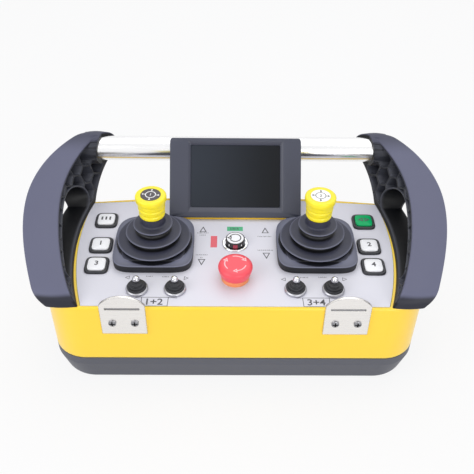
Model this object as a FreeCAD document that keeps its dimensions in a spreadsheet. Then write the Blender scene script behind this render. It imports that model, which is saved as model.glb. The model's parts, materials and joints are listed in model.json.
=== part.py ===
# Industrial radio remote control: a two-joystick transmitter carried on a strap.
# The origin is the middle of the footprint on the ground; +Z is up and the user stands at -Y.
import FreeCAD, Part
import math
import os
import Sketcher

V = FreeCAD.Vector
X_AXIS, Y_AXIS, Z_AXIS = V(1, 0, 0), V(0, 1, 0), V(0, 0, 1)

# Driving dimensions, millimetres and degrees
SIZES = {
    # Casing
    "wall": 3,
    "base_height": 29.5,
    "base_draft": 3.5,
    "gasket_thickness": 1,
    "gasket_inset": 1,
    "upper_height": 61,
    "corner_radius": 30,
    "front_reach": 91.5,
    "front_rim": 2.5,
    "rear_rim": 4,
    "rear_bow": 8,
    "side_shoulder": 19,
    "edge_round": 2.5,
    "base_edge_round": 5,
    "base_lip": 8,
    "base_corner_radius": 33,
    "post_radius": 4.5,
    "post_inset": 23,
    "post_rear_inset": 16,
    "base_screw_radius": 2,
    "base_screw_head": 3.6,
    "base_screw_grip": 12,
    "screw_head_height": 3,
    "clearance": 0.3,
    "shaft_play": 0.05,
    # Face panel
    "panel_thickness": 2.5,
    "panel_ledge": 5,
    "panel_side_margin": 10,
    "panel_front_narrowing": 14,
    "panel_rear_narrowing": 4,
    "panel_widest_y": -10,
    "rear_margin": 27.5,
    "panel_rear_bow": 6.4,
    # Joysticks
    "stick_x": 70.8,
    "flange_width": 68,
    "flange_height": 6,
    "flange_corner": 15,
    "tier_inset": 1.5,
    "tier_step": 7.7,
    "second_tier_top": 11,
    "third_tier_top": 17.2,
    "fourth_tier_top": 26,
    "bellows_neck_radius": 11,
    "bellows_bore": 12,
    "bellows_bore_height": 22,
    "knob_bottom": 36,
    "knob_top": 57,
    "knob_foot_radius": 10.8,
    "knob_radius": 11.8,
    "knob_head_radius": 13.1,
    "knob_head_height": 5.2,
    "knob_groove": 0.7,
    "knob_groove_drop": 5.8,
    "knob_edge": 1.5,
    "disc_radius": 8.3,
    "disc_thickness": 1.2,
    "shaft_radius": 4,
    "shaft_top": 50,
    "pivot_depth": 12.5,
    "pivot_boss_radius": 7,
    "pin_radius": 2,
    "gimbal_inner_radius": 11,
    "gimbal_outer_radius": 16,
    "gimbal_height": 8,
    "stick_tail": 8,
    "stick_body_width": 52,
    "stick_body_depth": 34,
    "stick_cavity_radius": 21,
    "stick_hole_radius": 20,
    # Push buttons
    "button_gap": 3.2,
    "bezel_width": 20.5,
    "bezel_height": 3.2,
    "bezel_corner": 5,
    "cap_width": 14.8,
    "cap_corner": 3.5,
    "cap_top": 5.8,
    "cap_bottom": 2,
    "cap_dome": 40,
    "cap_stem_radius": 3,
    "cap_stem_length": 10,
    "button_rear_step": 34.5,
    "button_front_step": 26,
    "button_body_width": 17,
    "button_body_depth": 18,
    # Toggle switches
    "toggle_x": 81,
    "toggle_spacing": 31.3,
    "toggle_inset": 18.8,
    "toggle_gap": 11,
    "nut_width": 18,
    "nut_thickness": 2.2,
    "collar_radius": 6.2,
    "lever_bore": 5,
    "lever_radius": 2,
    "lever_tip_radius": 3.1,
    "lever_tip_bottom": 9.5,
    "lever_top": 15.3,
    "lever_pivot": 6,
    "lever_pin_radius": 1.2,
    "lever_pin_length": 11.6,
    "boot_radius": 7.8,
    "boot_top_radius": 3.6,
    "boot_top": 9.2,
    "boot_wall": 1,
    "toggle_body_width": 14,
    "toggle_body_depth": 17,
    # Emergency stop
    "estop_step": 39.5,
    "estop_travel": 3,
    "estop_lift": 2.2,
    "estop_wall": 1.1,
    "estop_flare": 2,
    "estop_crown_inset": 5.1,
    "estop_crown_thickness": 2.5,
    "estop_socket": 1.2,
    "estop_skirt_radius": 8,
    "estop_skirt_bottom": 0.8,
    "estop_collar_radius": 11.2,
    "estop_collar_height": 9,
    "plunger_radius": 3,
    "plunger_depth": 20,
    "contact_block_width": 30,
    "contact_block_depth": 38,
    # Start key
    "key_step": 4,
    "key_radius": 8.4,
    "key_top": 6.8,
    "key_edge": 1.2,
    "key_collar_radius": 11.7,
    "key_collar_height": 1.6,
    "key_stem_radius": 6,
    "key_stem_length": 14,
    "key_body_radius": 9,
    "key_body_depth": 28,
    # Display
    "pedestal_half": 48,
    "pedestal_gap": 4.5,
    "pedestal_height": 5,
    "display_lift": 1,
    "display_lean": 40.5,
    "display_width": 121,
    "display_height": 70,
    "display_corner": 3,
    "bezel_thickness": 6,
    "screen_width": 82,
    "screen_height": 57,
    "screen_rise": 6.5,
    "glass_depth": 2,
    "glass_thickness": 2,
    "display_back_width": 97,
    "display_back_bottom": 10,
    "display_back_height": 38,
    "display_back_thickness": 10,
    "bracket_width": 36,
    "bracket_foot": 13,
    "bracket_reach": 3,
    # Cross tube and handles
    "tube_radius": 11.5,
    "tube_wall": 1.5,
    "tube_behind": 31,
    "tube_rise": 39.5,
    "tube_entry": 2.5,
    "socket_wall": 3.5,
    "socket_inset": 16.5,
    "socket_slant": 21.8,
    "handle_rim_gap": 1,
    "handle_front_step": 1,
    "handle_overrun": 1,
    "handle_widest_y": -34,
    "handle_tip_inset": 24.5,
    "handle_heel_inset": 2,
    "handle_foot_spread": 45,
    "handle_opening": 40,
    "handle_foot_width": 25.5,
    "handle_foot_height": 10.3,
    "handle_foot_slope": 2,
    "handle_crown": 2,
    "handle_base_width": 16.5,
    "handle_lean_in": 21,
    "handle_lean_out": 44,
    "handle_foot_lean": 26,
    "handle_tip_width": 2.5,
    "handle_skin": 2,
    "handle_floor": 5,
    "band_depth": 6,
    "band_lining": 1.2,
    "grip_front": 31,
    "grip_rear": 14,
    "grip_arch": 10,
    "rib_pitch": 16,
    "rib_wall": 1.5,
    "smallest_cell": 14,
    "handle_screw_radius": 2.5,
    "handle_screw_head": 4.2,
    "handle_screw_grip": 3.5,
    "handle_screw_inset": 10,
    "handle_screw_front": 25,
    "handle_screw_rear": 26,
    # Strap plates
    "strap_x": 90.7,
    "strap_width": 37,
    "strap_thickness": 2,
    "strap_below": 28.2,
    "strap_shoulder": 4.5,
    "strap_above": 14,
    "slot_width": 28,
    "slot_height": 2,
    "slot_bottom": -0.3,
    "strap_screw_spacing": 18.3,
    "strap_screw_drop": 15.5,
    "strap_screw_radius": 2,
    "strap_screw_head": 3.6,
    "strap_screw_head_height": 1.8,
    "strap_screw_length": 8,
    # Inside
    "battery_width": 100,
    "battery_depth": 60,
    "battery_height": 17,
    "battery_y": -20,
    "well_wall": 2.5,
    "board_width": 190,
    "board_depth": 80,
    "board_thickness": 1.6,
    "board_height": 30,
    "board_y": -20,
    "standoff_radius": 3.5,
    "standoff_inset": 6,
    "radio_width": 40,
    "radio_depth": 28,
    "radio_height": 6,
}

doc = FreeCAD.newDocument("radio_remote")
sheet = doc.addObject("Spreadsheet::Sheet", "Sizes")
layout = doc.addObject("Spreadsheet::Sheet", "Layout")


class Size:
    """A number together with the expression that works it out in the document."""

    def __init__(self, value, text):
        self.value = value
        self.text = text

    def join(self, other, sign, value):
        return Size(value, "(%s %s %s)" % (self.text, sign, other.text))

    def __add__(self, other):
        other = as_size(other)
        return self.join(other, "+", self.value + other.value)

    def __radd__(self, other):
        return as_size(other) + self

    def __sub__(self, other):
        other = as_size(other)
        return self.join(other, "-", self.value - other.value)

    def __rsub__(self, other):
        return as_size(other) - self

    def __mul__(self, other):
        other = as_size(other)
        return self.join(other, "*", self.value * other.value)

    def __rmul__(self, other):
        return as_size(other) * self

    def __truediv__(self, other):
        other = as_size(other)
        return self.join(other, "/", self.value / other.value)

    def __neg__(self):
        return Size(-self.value, "(0 - %s)" % self.text)

    def sin(self):
        return Size(math.sin(math.radians(self.value)), "sin(%s)" % self.text)

    def cos(self):
        return Size(math.cos(math.radians(self.value)), "cos(%s)" % self.text)


def as_size(number):
    if isinstance(number, Size):
        return number
    return Size(float(number), repr(float(number)))


class SheetSizes:
    """Gives each cell of the sheet of driving dimensions by its alias."""

    def __getattr__(self, alias):
        return Size(float(sheet.get(alias)), "Sizes.%s" % alias)


for row, (alias, number) in enumerate(SIZES.items(), 1):
    sheet.set("A%d" % row, alias)
    sheet.set("B%d" % row, str(number))
    sheet.setAlias("B%d" % row, alias)
doc.recompute()
S = SheetSizes()
layout_rows = []


def named(alias, size):
    """Keeps a worked-out size in the layout sheet and gives it back under its alias."""
    layout_rows.append(alias)
    row = len(layout_rows)
    layout.set("A%d" % row, alias)
    layout.set("B%d" % row, "=" + size.text)
    layout.setAlias("B%d" % row, alias)
    doc.recompute()
    return Size(float(layout.get(alias)), "Layout.%s" % alias)


# Places that several pieces share
panel_half = named("panel_half", S.stick_x + S.flange_width / 2 + S.button_gap + S.bezel_width
                   + S.panel_side_margin)
housing_half = named("housing_half", panel_half + S.side_shoulder)
front_y = named("front_y", -S.front_reach)
panel_front = named("panel_front", front_y + S.front_rim)
toggle_y = named("toggle_y", panel_front + S.toggle_inset)
stick_y = named("stick_y", toggle_y + S.nut_width / 2 + S.toggle_gap + S.flange_width / 2)
panel_rear = named("panel_rear", stick_y + S.flange_width / 2 + S.rear_margin)
rear_y = named("rear_y", panel_rear + S.rear_rim)
seam_z = named("seam_z", S.base_height + S.gasket_thickness)
panel_top = named("panel_top", seam_z + S.upper_height)
panel_under = named("panel_under", panel_top - S.panel_thickness)
button_x = named("button_x", panel_half - S.panel_side_margin - S.bezel_width / 2)
estop_y = named("estop_y", stick_y - S.estop_step)
key_y = named("key_y", stick_y + S.key_step)
pedestal_front = named("pedestal_front", stick_y + S.flange_width / 2 + S.pedestal_gap)
tube_y = named("tube_y", rear_y + S.tube_behind)
tube_z = named("tube_z", panel_top + S.tube_rise)
pivot_z = named("pivot_z", panel_top - S.pivot_depth)
toggle_pivot_z = named("toggle_pivot_z", panel_top - S.lever_pivot)
button_rows = [stick_y + S.button_rear_step, stick_y, stick_y - S.button_front_step]
toggle_places = [-S.toggle_x, -S.toggle_x + S.toggle_spacing, S.toggle_x - S.toggle_spacing, S.toggle_x]
SIDES = {"left": -1, "right": 1}
nodes = {}


# Helpers that make document objects bound to the sheets
def bind(thing, prop, size):
    thing.setExpression(prop, as_size(size).text)


def place(thing, x, y, z):
    for letter, size in zip("xyz", (x, y, z)):
        bind(thing, "Placement.Base." + letter, size)
    return thing


def turn(thing, axis, angle):
    thing.Placement = FreeCAD.Placement(V(0, 0, 0), FreeCAD.Rotation(axis, angle))
    return thing


def box(name, sizes, corner):
    thing = doc.addObject("Part::Box", name)
    for prop, size in zip(("Length", "Width", "Height"), sizes):
        bind(thing, prop, size)
    return place(thing, *corner)


def centred_box(name, sizes, x, y, bottom):
    return box(name, sizes, (x - sizes[0] / 2, y - sizes[1] / 2, bottom))


def cylinder(name, radius, height, base, axis=Z_AXIS):
    thing = doc.addObject("Part::Cylinder", name)
    bind(thing, "Radius", radius)
    bind(thing, "Height", height)
    thing.Placement = FreeCAD.Placement(V(0, 0, 0), FreeCAD.Rotation(Z_AXIS, axis))
    return place(thing, *base)


def cut(name, base, *tools):
    thing = doc.addObject("Part::Cut", name)
    thing.Base = base
    thing.Tool = tools[0] if len(tools) == 1 else fuse(name + "_tools", *tools)
    return thing


def fuse(name, *shapes):
    thing = doc.addObject("Part::MultiFuse", name)
    thing.Shapes = list(shapes)
    return thing


def common(name, *shapes):
    thing = doc.addObject("Part::MultiCommon", name)
    thing.Shapes = list(shapes)
    return thing


def group(name, *shapes):
    thing = doc.addObject("Part::Compound", name)
    thing.Links = list(shapes)
    return thing


def rounded_box(name, sizes, x, y, bottom, corner):
    """A block with its four upright edges rounded."""
    block = centred_box(name + "_block", sizes, as_size(x), as_size(y), bottom)
    doc.recompute()
    thing = doc.addObject("Part::Fillet", name)
    thing.Base = block
    radius = corner.value
    upright = [i for i, edge in enumerate(block.Shape.Edges, 1) if edge.BoundBox.ZLength > sizes[2].value / 2]
    thing.Edges = [(i, radius, radius) for i in upright]
    return thing


def node(name, thing):
    """Registers a finished sub-part under the name of its file."""
    thing.Label = name
    nodes[name] = thing
    return thing


def new_body(name):
    return doc.addObject("PartDesign::Body", name)


def sketch_on(body, role, name, offset=None):
    sketch = body.newObject("Sketcher::SketchObject", name)
    plane = [feature for feature in body.Origin.OriginFeatures if feature.Role == role][0]
    sketch.AttachmentSupport = [(plane, "")]
    sketch.MapMode = "FlatFace"
    if offset is not None:
        bind(sketch, "AttachmentOffset.Base.z", offset)
    return sketch


def pin(sketch, geometry, end, x, y):
    """Holds one point of a sketch at two sizes."""
    for kind, size in (("DistanceX", x), ("DistanceY", y)):
        index = sketch.addConstraint(Sketcher.Constraint(kind, -1, 1, geometry, end, size.value))
        sketch.setExpression("Constraints[%d]" % index, size.text)


def outline(sketch, corners):
    """Draws a closed outline. A corner is (x, y), or (x, y, mid_x, mid_y) when an arc leaves it."""
    corners = [tuple(as_size(size) for size in corner) for corner in corners]
    ends = []
    for i, corner in enumerate(corners):
        start = V(corner[0].value, corner[1].value, 0)
        after = corners[(i + 1) % len(corners)]
        end = V(after[0].value, after[1].value, 0)
        if len(corner) == 2:
            index = sketch.addGeometry(Part.LineSegment(start, end), False)
            ends.append((index, 1, 2))
            continue
        middle = V(corner[2].value, corner[3].value, 0)
        index = sketch.addGeometry(Part.Arc(start, middle, end), False)
        forward = (sketch.getPoint(index, 1) - start).Length < (sketch.getPoint(index, 2) - start).Length
        ends.append((index, 1, 2) if forward else (index, 2, 1))
        point = sketch.addGeometry(Part.Point(middle), True)
        pin(sketch, point, 1, corner[2], corner[3])
        sketch.addConstraint(Sketcher.Constraint("PointOnObject", point, 1, index))
    for i, (index, first, last) in enumerate(ends):
        following = ends[(i + 1) % len(ends)]
        sketch.addConstraint(Sketcher.Constraint("Coincident", index, last, following[0], following[1]))
        pin(sketch, index, first, corners[i][0], corners[i][1])
    return sketch


def circles(sketch, rounds):
    """Draws circles, each (x, y, radius)."""
    for x, y, radius in rounds:
        x, y, radius = as_size(x), as_size(y), as_size(radius)
        index = sketch.addGeometry(Part.Circle(V(x.value, y.value, 0), Z_AXIS, radius.value), False)
        pin(sketch, index, 3, x, y)
        constraint = sketch.addConstraint(Sketcher.Constraint("Radius", index, radius.value))
        sketch.setExpression("Constraints[%d]" % constraint, radius.text)
    return sketch


def pad(body, sketch, length):
    feature = body.newObject("PartDesign::Pad", sketch.Name + "_pad")
    feature.Profile = sketch
    bind(feature, "Length", length)
    return feature


def pocket(body, sketch, length, reverse=False):
    doc.recompute()
    before = body.Shape.Volume
    feature = body.newObject("PartDesign::Pocket", sketch.Name + "_pocket")
    feature.Profile = sketch
    feature.Reversed = reverse
    bind(feature, "Length", length)
    doc.recompute()
    if not body.Shape.Volume < before:
        raise RuntimeError(sketch.Name + " cuts nothing")
    return feature


def revolved(name, profile, x, y, z):
    """A turned piece: a profile of (radius, height) corners round an upright axis."""
    body = new_body(name)
    sketch = outline(sketch_on(body, "XZ_Plane", name + "_profile"), profile)
    feature = body.newObject("PartDesign::Revolution", name + "_turned")
    feature.Profile = sketch
    feature.ReferenceAxis = (sketch, ["V_Axis"])
    feature.Angle = 360
    return place(body, x, y, z)


def rounded_rectangle(half_x, front, rear, radius, bow=None):
    """Corners of a rectangle with round corners; its rear side may bow outwards."""
    short = radius * (1 - math.sqrt(0.5))
    corners = [
        (-half_x, front + radius, -half_x + short, front + short),
        (-half_x + radius, front),
        (half_x - radius, front, half_x - short, front + short),
        (half_x, front + radius),
        (half_x, rear - radius, half_x - short, rear - short),
        (half_x - radius, rear) if bow is None else (half_x - radius, rear, 0, rear + bow),
        (-half_x + radius, rear, -half_x + short, rear - short),
        (-half_x, rear - radius),
    ]
    return corners


# Casing
def panel_corners(inset):
    """The face panel's outline, bowed at the sides, with a notch for the display's pedestal."""
    front_half = panel_half - S.panel_front_narrowing - inset
    rear_half = panel_half - S.panel_rear_narrowing - inset
    widest = panel_half - inset
    notch = S.pedestal_half + S.clearance + inset
    notch_front = pedestal_front - S.clearance - inset
    corner_rear = panel_rear - inset
    notch_rear = panel_rear + S.panel_rear_bow - inset
    return [
        (-front_half, panel_front + inset),
        (front_half, panel_front + inset, widest, S.panel_widest_y),
        (rear_half, corner_rear),
        (notch, notch_rear),
        (notch, notch_front),
        (-notch, notch_front),
        (-notch, notch_rear),
        (-rear_half, corner_rear, -widest, S.panel_widest_y),
    ]


def casing_corners(inset, radius=None):
    """The casing's outline moved in by an inset; its corners follow along unless a radius is given."""
    radius = S.corner_radius - inset if radius is None else radius
    return rounded_rectangle(housing_half - inset, front_y + inset, rear_y - inset, radius, S.rear_bow)


def round_rim(body, feature, height, radius, name):
    """Rounds the edges of a body's feature that lie at one height."""
    doc.recompute()
    flat = [
        "Edge%d" % i
        for i, edge in enumerate(feature.Shape.Edges, 1)
        if edge.BoundBox.ZLength < 1e-6 and abs(edge.BoundBox.ZMin - height.value) < 1e-6
    ]
    fillet = body.newObject("PartDesign::Fillet", name)
    fillet.Base = (feature, flat)
    bind(fillet, "Radius", radius)
    return fillet


post_places = [
    (side * (housing_half - S.post_inset), y)
    for side in SIDES.values()
    for y in (front_y + S.post_inset, rear_y - S.post_rear_inset)
]
handle_screw_places = [
    (side * (housing_half - S.handle_screw_inset), y)
    for side in SIDES.values()
    for y in (front_y + S.handle_screw_front, rear_y - S.handle_screw_rear)
]
strap_screw_places = [
    (side * S.strap_x + end * S.strap_screw_spacing / 2)
    for side in SIDES.values()
    for end in (-1, 1)
]
strap_screw_z = panel_top - S.strap_screw_drop
ceiling = named("ceiling", panel_under - S.wall)


def upper_housing():
    body = new_body("upper_shell")
    sketch = outline(sketch_on(body, "XY_Plane", "upper_outline", seam_z), casing_corners(as_size(0)))
    block = pad(body, sketch, S.upper_height)
    round_rim(body, block, panel_top, S.edge_round, "upper_rim")
    cavity = outline(sketch_on(body, "XY_Plane", "upper_cavity", ceiling), casing_corners(S.wall))
    pocket(body, cavity, ceiling - seam_z)
    recess = outline(sketch_on(body, "XY_Plane", "panel_recess", panel_top), panel_corners(-S.clearance))
    pocket(body, recess, S.panel_thickness)
    window = outline(sketch_on(body, "XY_Plane", "panel_window", panel_under), panel_corners(S.panel_ledge))
    pocket(body, window, S.wall)
    seat_drop = S.pedestal_height + S.panel_thickness
    seat_run = seat_drop * S.display_lean.cos() / S.display_lean.sin()
    wedge = outline(sketch_on(body, "YZ_Plane", "pedestal", -S.pedestal_half), [
        (pedestal_front, panel_under),
        (pedestal_front, panel_top + S.pedestal_height),
        (pedestal_front + seat_run, panel_under),
    ])
    pad(body, wedge, 2 * S.pedestal_half)
    posts = [
        cylinder("upper_post", S.post_radius, ceiling - seam_z, (x, y, seam_z))
        for x, y in post_places
    ]
    holes = [
        cylinder("post_hole", S.base_screw_radius, S.base_screw_grip, (x, y, seam_z))
        for x, y in post_places
    ]
    holes += [
        cylinder("handle_screw_hole", S.handle_screw_radius, panel_top - ceiling, (x, y, ceiling))
        for x, y in handle_screw_places
    ]
    holes += [
        cylinder("strap_screw_hole", S.strap_screw_radius, S.wall, (x, front_y, strap_screw_z), Y_AXIS)
        for x in strap_screw_places
    ]
    node("upper_housing", cut("upper_housing", fuse("upper_shell_posts", body, *posts), *holes))


def lower_housing():
    body = new_body("lower_shell")
    top = outline(sketch_on(body, "XY_Plane", "base_top", S.base_height), casing_corners(as_size(0)))
    lip = outline(sketch_on(body, "XY_Plane", "base_lip", S.base_height - S.base_lip),
                  casing_corners(as_size(0)))
    foot = outline(sketch_on(body, "XY_Plane", "base_foot"),
                   casing_corners(S.base_draft, S.base_corner_radius))
    loft = body.newObject("PartDesign::AdditiveLoft", "base_loft")
    loft.Profile = top
    loft.Sections = [lip, foot]
    loft.Ruled = True
    round_rim(body, loft, as_size(0), S.base_edge_round, "base_rim")
    inner = outline(sketch_on(body, "XY_Plane", "base_cavity", S.base_height),
                    casing_corners(S.base_draft + S.wall, S.base_corner_radius))
    pocket(body, inner, S.base_height - S.wall)
    posts = [
        cylinder("base_post", S.post_radius, S.base_height - S.wall, (x, y, S.wall))
        for x, y in post_places
    ]
    standoffs = [
        cylinder("standoff", S.standoff_radius, S.board_height - S.wall,
                 (x * (S.board_width / 2 - S.standoff_inset),
                  S.board_y + y * (S.board_depth / 2 - S.standoff_inset), S.wall))
        for x in (-1, 1)
        for y in (-1, 1)
    ]
    well_height = S.battery_height + S.clearance + S.well_wall
    well = centred_box("battery_well", (S.battery_width + 2 * S.clearance + 2 * S.well_wall,
                                        S.battery_depth + 2 * S.clearance + 2 * S.well_wall,
                                        well_height), as_size(0), S.battery_y, as_size(0))
    room = centred_box("battery_room", (S.battery_width + 2 * S.clearance,
                                        S.battery_depth + 2 * S.clearance,
                                        S.battery_height + S.clearance), as_size(0), S.battery_y, as_size(0))
    holes = [
        cylinder("base_screw_hole", S.base_screw_radius, S.base_height, (x, y, as_size(0)))
        for x, y in post_places
    ]
    counterbores = [
        cylinder("base_counterbore", S.base_screw_head + S.clearance, S.screw_head_height, (x, y, as_size(0)))
        for x, y in post_places
    ]
    shell = fuse("lower_shell_posts", body, well, *posts, *standoffs)
    node("lower_housing", cut("lower_housing", shell, room, *holes, *counterbores))


def gasket():
    body = new_body("housing_gasket")
    sketch = sketch_on(body, "XY_Plane", "gasket_outline", S.base_height)
    outline(sketch, casing_corners(S.gasket_inset))
    outline(sketch, casing_corners(S.wall))
    pad(body, sketch, S.gasket_thickness)
    node("housing_gasket", body)


def face_panel():
    body = new_body("face_panel")
    sketch = outline(sketch_on(body, "XY_Plane", "panel_outline", panel_under), panel_corners(as_size(0)))
    pad(body, sketch, S.panel_thickness)
    rounds = [(side * S.stick_x, stick_y, S.stick_hole_radius) for side in SIDES.values()]
    rounds += [
        (side * button_x, y, S.cap_stem_radius + S.clearance)
        for side in SIDES.values()
        for y in button_rows
    ]
    rounds += [(x, toggle_y, S.collar_radius + S.shaft_play) for x in toggle_places]
    rounds.append((0, estop_y, S.estop_skirt_radius + 2 * S.clearance))
    rounds.append((0, key_y, S.key_stem_radius + S.clearance))
    pocket(body, circles(sketch_on(body, "XY_Plane", "panel_holes", panel_top), rounds), S.panel_thickness)
    node("face_panel", body)


# Controls on the panel
def bellows(side, x):
    """Rubber boot with a square flange and round steps, closed round the shaft below the knob."""
    flange = rounded_box("%s_flange" % side, (S.flange_width, S.flange_width, S.flange_height),
                         x, stick_y, panel_top, S.flange_corner)
    tops = [S.flange_height, S.second_tier_top, S.third_tier_top, S.fourth_tier_top]
    tiers = [
        cylinder("%s_tier" % side, S.flange_width / 2 - S.tier_inset - S.tier_step * step, top - bottom,
                 (x, stick_y, panel_top + bottom))
        for step, (bottom, top) in enumerate(zip(tops, tops[1:]))
    ]
    neck_top = S.knob_bottom - S.clearance
    neck = cylinder("%s_neck" % side, S.bellows_neck_radius, neck_top - S.fourth_tier_top,
                    (x, stick_y, panel_top + S.fourth_tier_top))
    hollow = cylinder("%s_bellows_hollow" % side, S.bellows_bore, S.bellows_bore_height,
                      (x, stick_y, panel_top))
    bore = cylinder("%s_bellows_bore" % side, S.shaft_radius + S.clearance, neck_top,
                    (x, stick_y, panel_top))
    solid = fuse("%s_bellows_solid" % side, flange, neck, *tiers)
    node("%s_bellows" % side, cut("%s_bellows" % side, solid, hollow, bore))


def knob(side, x):
    bore = S.shaft_radius + S.shaft_play
    head_bottom = S.knob_top - S.knob_head_height
    groove = head_bottom - S.knob_groove_drop
    recess = S.disc_radius + S.clearance
    profile = [
        (bore, S.knob_bottom),
        (S.knob_foot_radius, S.knob_bottom),
        (S.knob_radius, groove - S.knob_groove),
        (S.knob_radius - S.knob_groove, groove),
        (S.knob_radius, groove + S.knob_groove),
        (S.knob_radius, head_bottom),
        (S.knob_head_radius, head_bottom + S.knob_groove),
        (S.knob_head_radius, S.knob_top - S.knob_edge),
        (S.knob_head_radius - S.knob_edge, S.knob_top),
        (recess, S.knob_top),
        (recess, S.knob_top - S.disc_thickness),
        (0, S.knob_top - S.disc_thickness),
        (0, S.shaft_top),
        (bore, S.shaft_top),
    ]
    node("%s_knob" % side, revolved("%s_knob" % side, profile, x, stick_y, panel_top))
    node("%s_knob_disc" % side, cylinder("%s_knob_disc" % side, S.disc_radius, S.disc_thickness,
                                         (x, stick_y, panel_top + S.knob_top - S.disc_thickness)))


def stick_mechanism(side, x):
    """The cup below the panel, the gimbal ring on its two trunnions, and the shaft on its cross pin."""
    half = S.stick_body_width / 2
    pin_reach = half - S.wall / 2
    cup = centred_box("%s_cup" % side, (S.stick_body_width, S.stick_body_width, S.stick_body_depth),
                      x, stick_y, panel_under - S.stick_body_depth)
    cavity = cylinder("%s_cup_cavity" % side, S.stick_cavity_radius, S.stick_body_depth - S.wall,
                      (x, stick_y, panel_under - S.stick_body_depth + S.wall))
    bearing = cylinder("%s_cup_bearing" % side, S.pin_radius + S.shaft_play, 2 * (pin_reach + S.clearance),
                       (x - pin_reach - S.clearance, stick_y, pivot_z), X_AXIS)
    node("%s_stick_body" % side, cut("%s_stick_body" % side, cup, cavity, bearing))

    ring = cylinder("%s_ring" % side, S.gimbal_outer_radius, S.gimbal_height,
                    (x, stick_y, pivot_z - S.gimbal_height / 2))
    trunnion = cylinder("%s_trunnion" % side, S.pin_radius, 2 * pin_reach,
                        (x - pin_reach, stick_y, pivot_z), X_AXIS)
    eye = cylinder("%s_ring_eye" % side, S.gimbal_inner_radius, S.gimbal_height,
                   (x, stick_y, pivot_z - S.gimbal_height / 2))
    cross_bore = cylinder("%s_cross_bore" % side, S.pin_radius + S.shaft_play, 2 * S.gimbal_outer_radius,
                          (x, stick_y - S.gimbal_outer_radius, pivot_z), Y_AXIS)
    rough = fuse("%s_ring_rough" % side, ring, trunnion)
    node("%s_gimbal" % side, cut("%s_gimbal" % side, rough, eye, cross_bore))

    rod = cylinder("%s_rod" % side, S.shaft_radius, S.shaft_top + S.pivot_depth + S.stick_tail,
                   (x, stick_y, pivot_z - S.stick_tail))
    boss = cylinder("%s_boss" % side, S.pivot_boss_radius, S.gimbal_height,
                    (x, stick_y, pivot_z - S.gimbal_height / 2))
    pin_half = S.gimbal_outer_radius - S.clearance
    cross_pin = cylinder("%s_cross_pin" % side, S.pin_radius, 2 * pin_half,
                         (x, stick_y - pin_half, pivot_z), Y_AXIS)
    node("%s_shaft" % side, fuse("%s_shaft" % side, rod, boss, cross_pin))


def push_buttons():
    bezels, switches = [], []
    for side, sign in SIDES.items():
        x = sign * button_x
        for row, y in zip(("rear", "middle", "front"), button_rows):
            label = "%s_%s" % (side, row)
            frame = rounded_box("bezel_%s" % label, (S.bezel_width, S.bezel_width, S.bezel_height),
                                x, y, panel_top, S.bezel_corner)
            hole_width = S.cap_width + 2 * S.clearance
            hole = rounded_box("bezel_hole_%s" % label, (hole_width, hole_width, S.bezel_height),
                               x, y, panel_top, S.cap_corner + S.clearance)
            bezels.append(cut("button_bezel_%s" % label, frame, hole))

            key = rounded_box("cap_block_%s" % label,
                              (S.cap_width, S.cap_width, S.cap_top - S.cap_bottom),
                              x, y, panel_top + S.cap_bottom, S.cap_corner)
            dome = doc.addObject("Part::Sphere", "cap_dome_%s" % label)
            bind(dome, "Radius", S.cap_dome)
            place(dome, x, y, panel_top + S.cap_top - S.cap_dome)
            stem = cylinder("cap_stem_%s" % label, S.cap_stem_radius, S.cap_stem_length + S.cap_bottom,
                            (x, y, panel_top - S.cap_stem_length))
            cap = fuse("button_cap_%s" % label, common("cap_key_%s" % label, key, dome), stem)
            node("button_cap_%s" % label, cap)

            switch = centred_box("switch_block_%s" % label,
                                 (S.button_body_width, S.button_body_width, S.button_body_depth),
                                 x, y, panel_under - S.button_body_depth)
            bore_depth = S.cap_stem_length - S.panel_thickness + S.cap_bottom + S.wall
            bore = cylinder("switch_bore_%s" % label, S.cap_stem_radius + S.clearance, bore_depth,
                            (x, y, panel_under - bore_depth))
            switches.append(cut("button_switch_%s" % label, switch, bore))
    node("button_bezels", group("button_bezels", *bezels))
    node("button_switches", group("button_switches", *switches))


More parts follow.
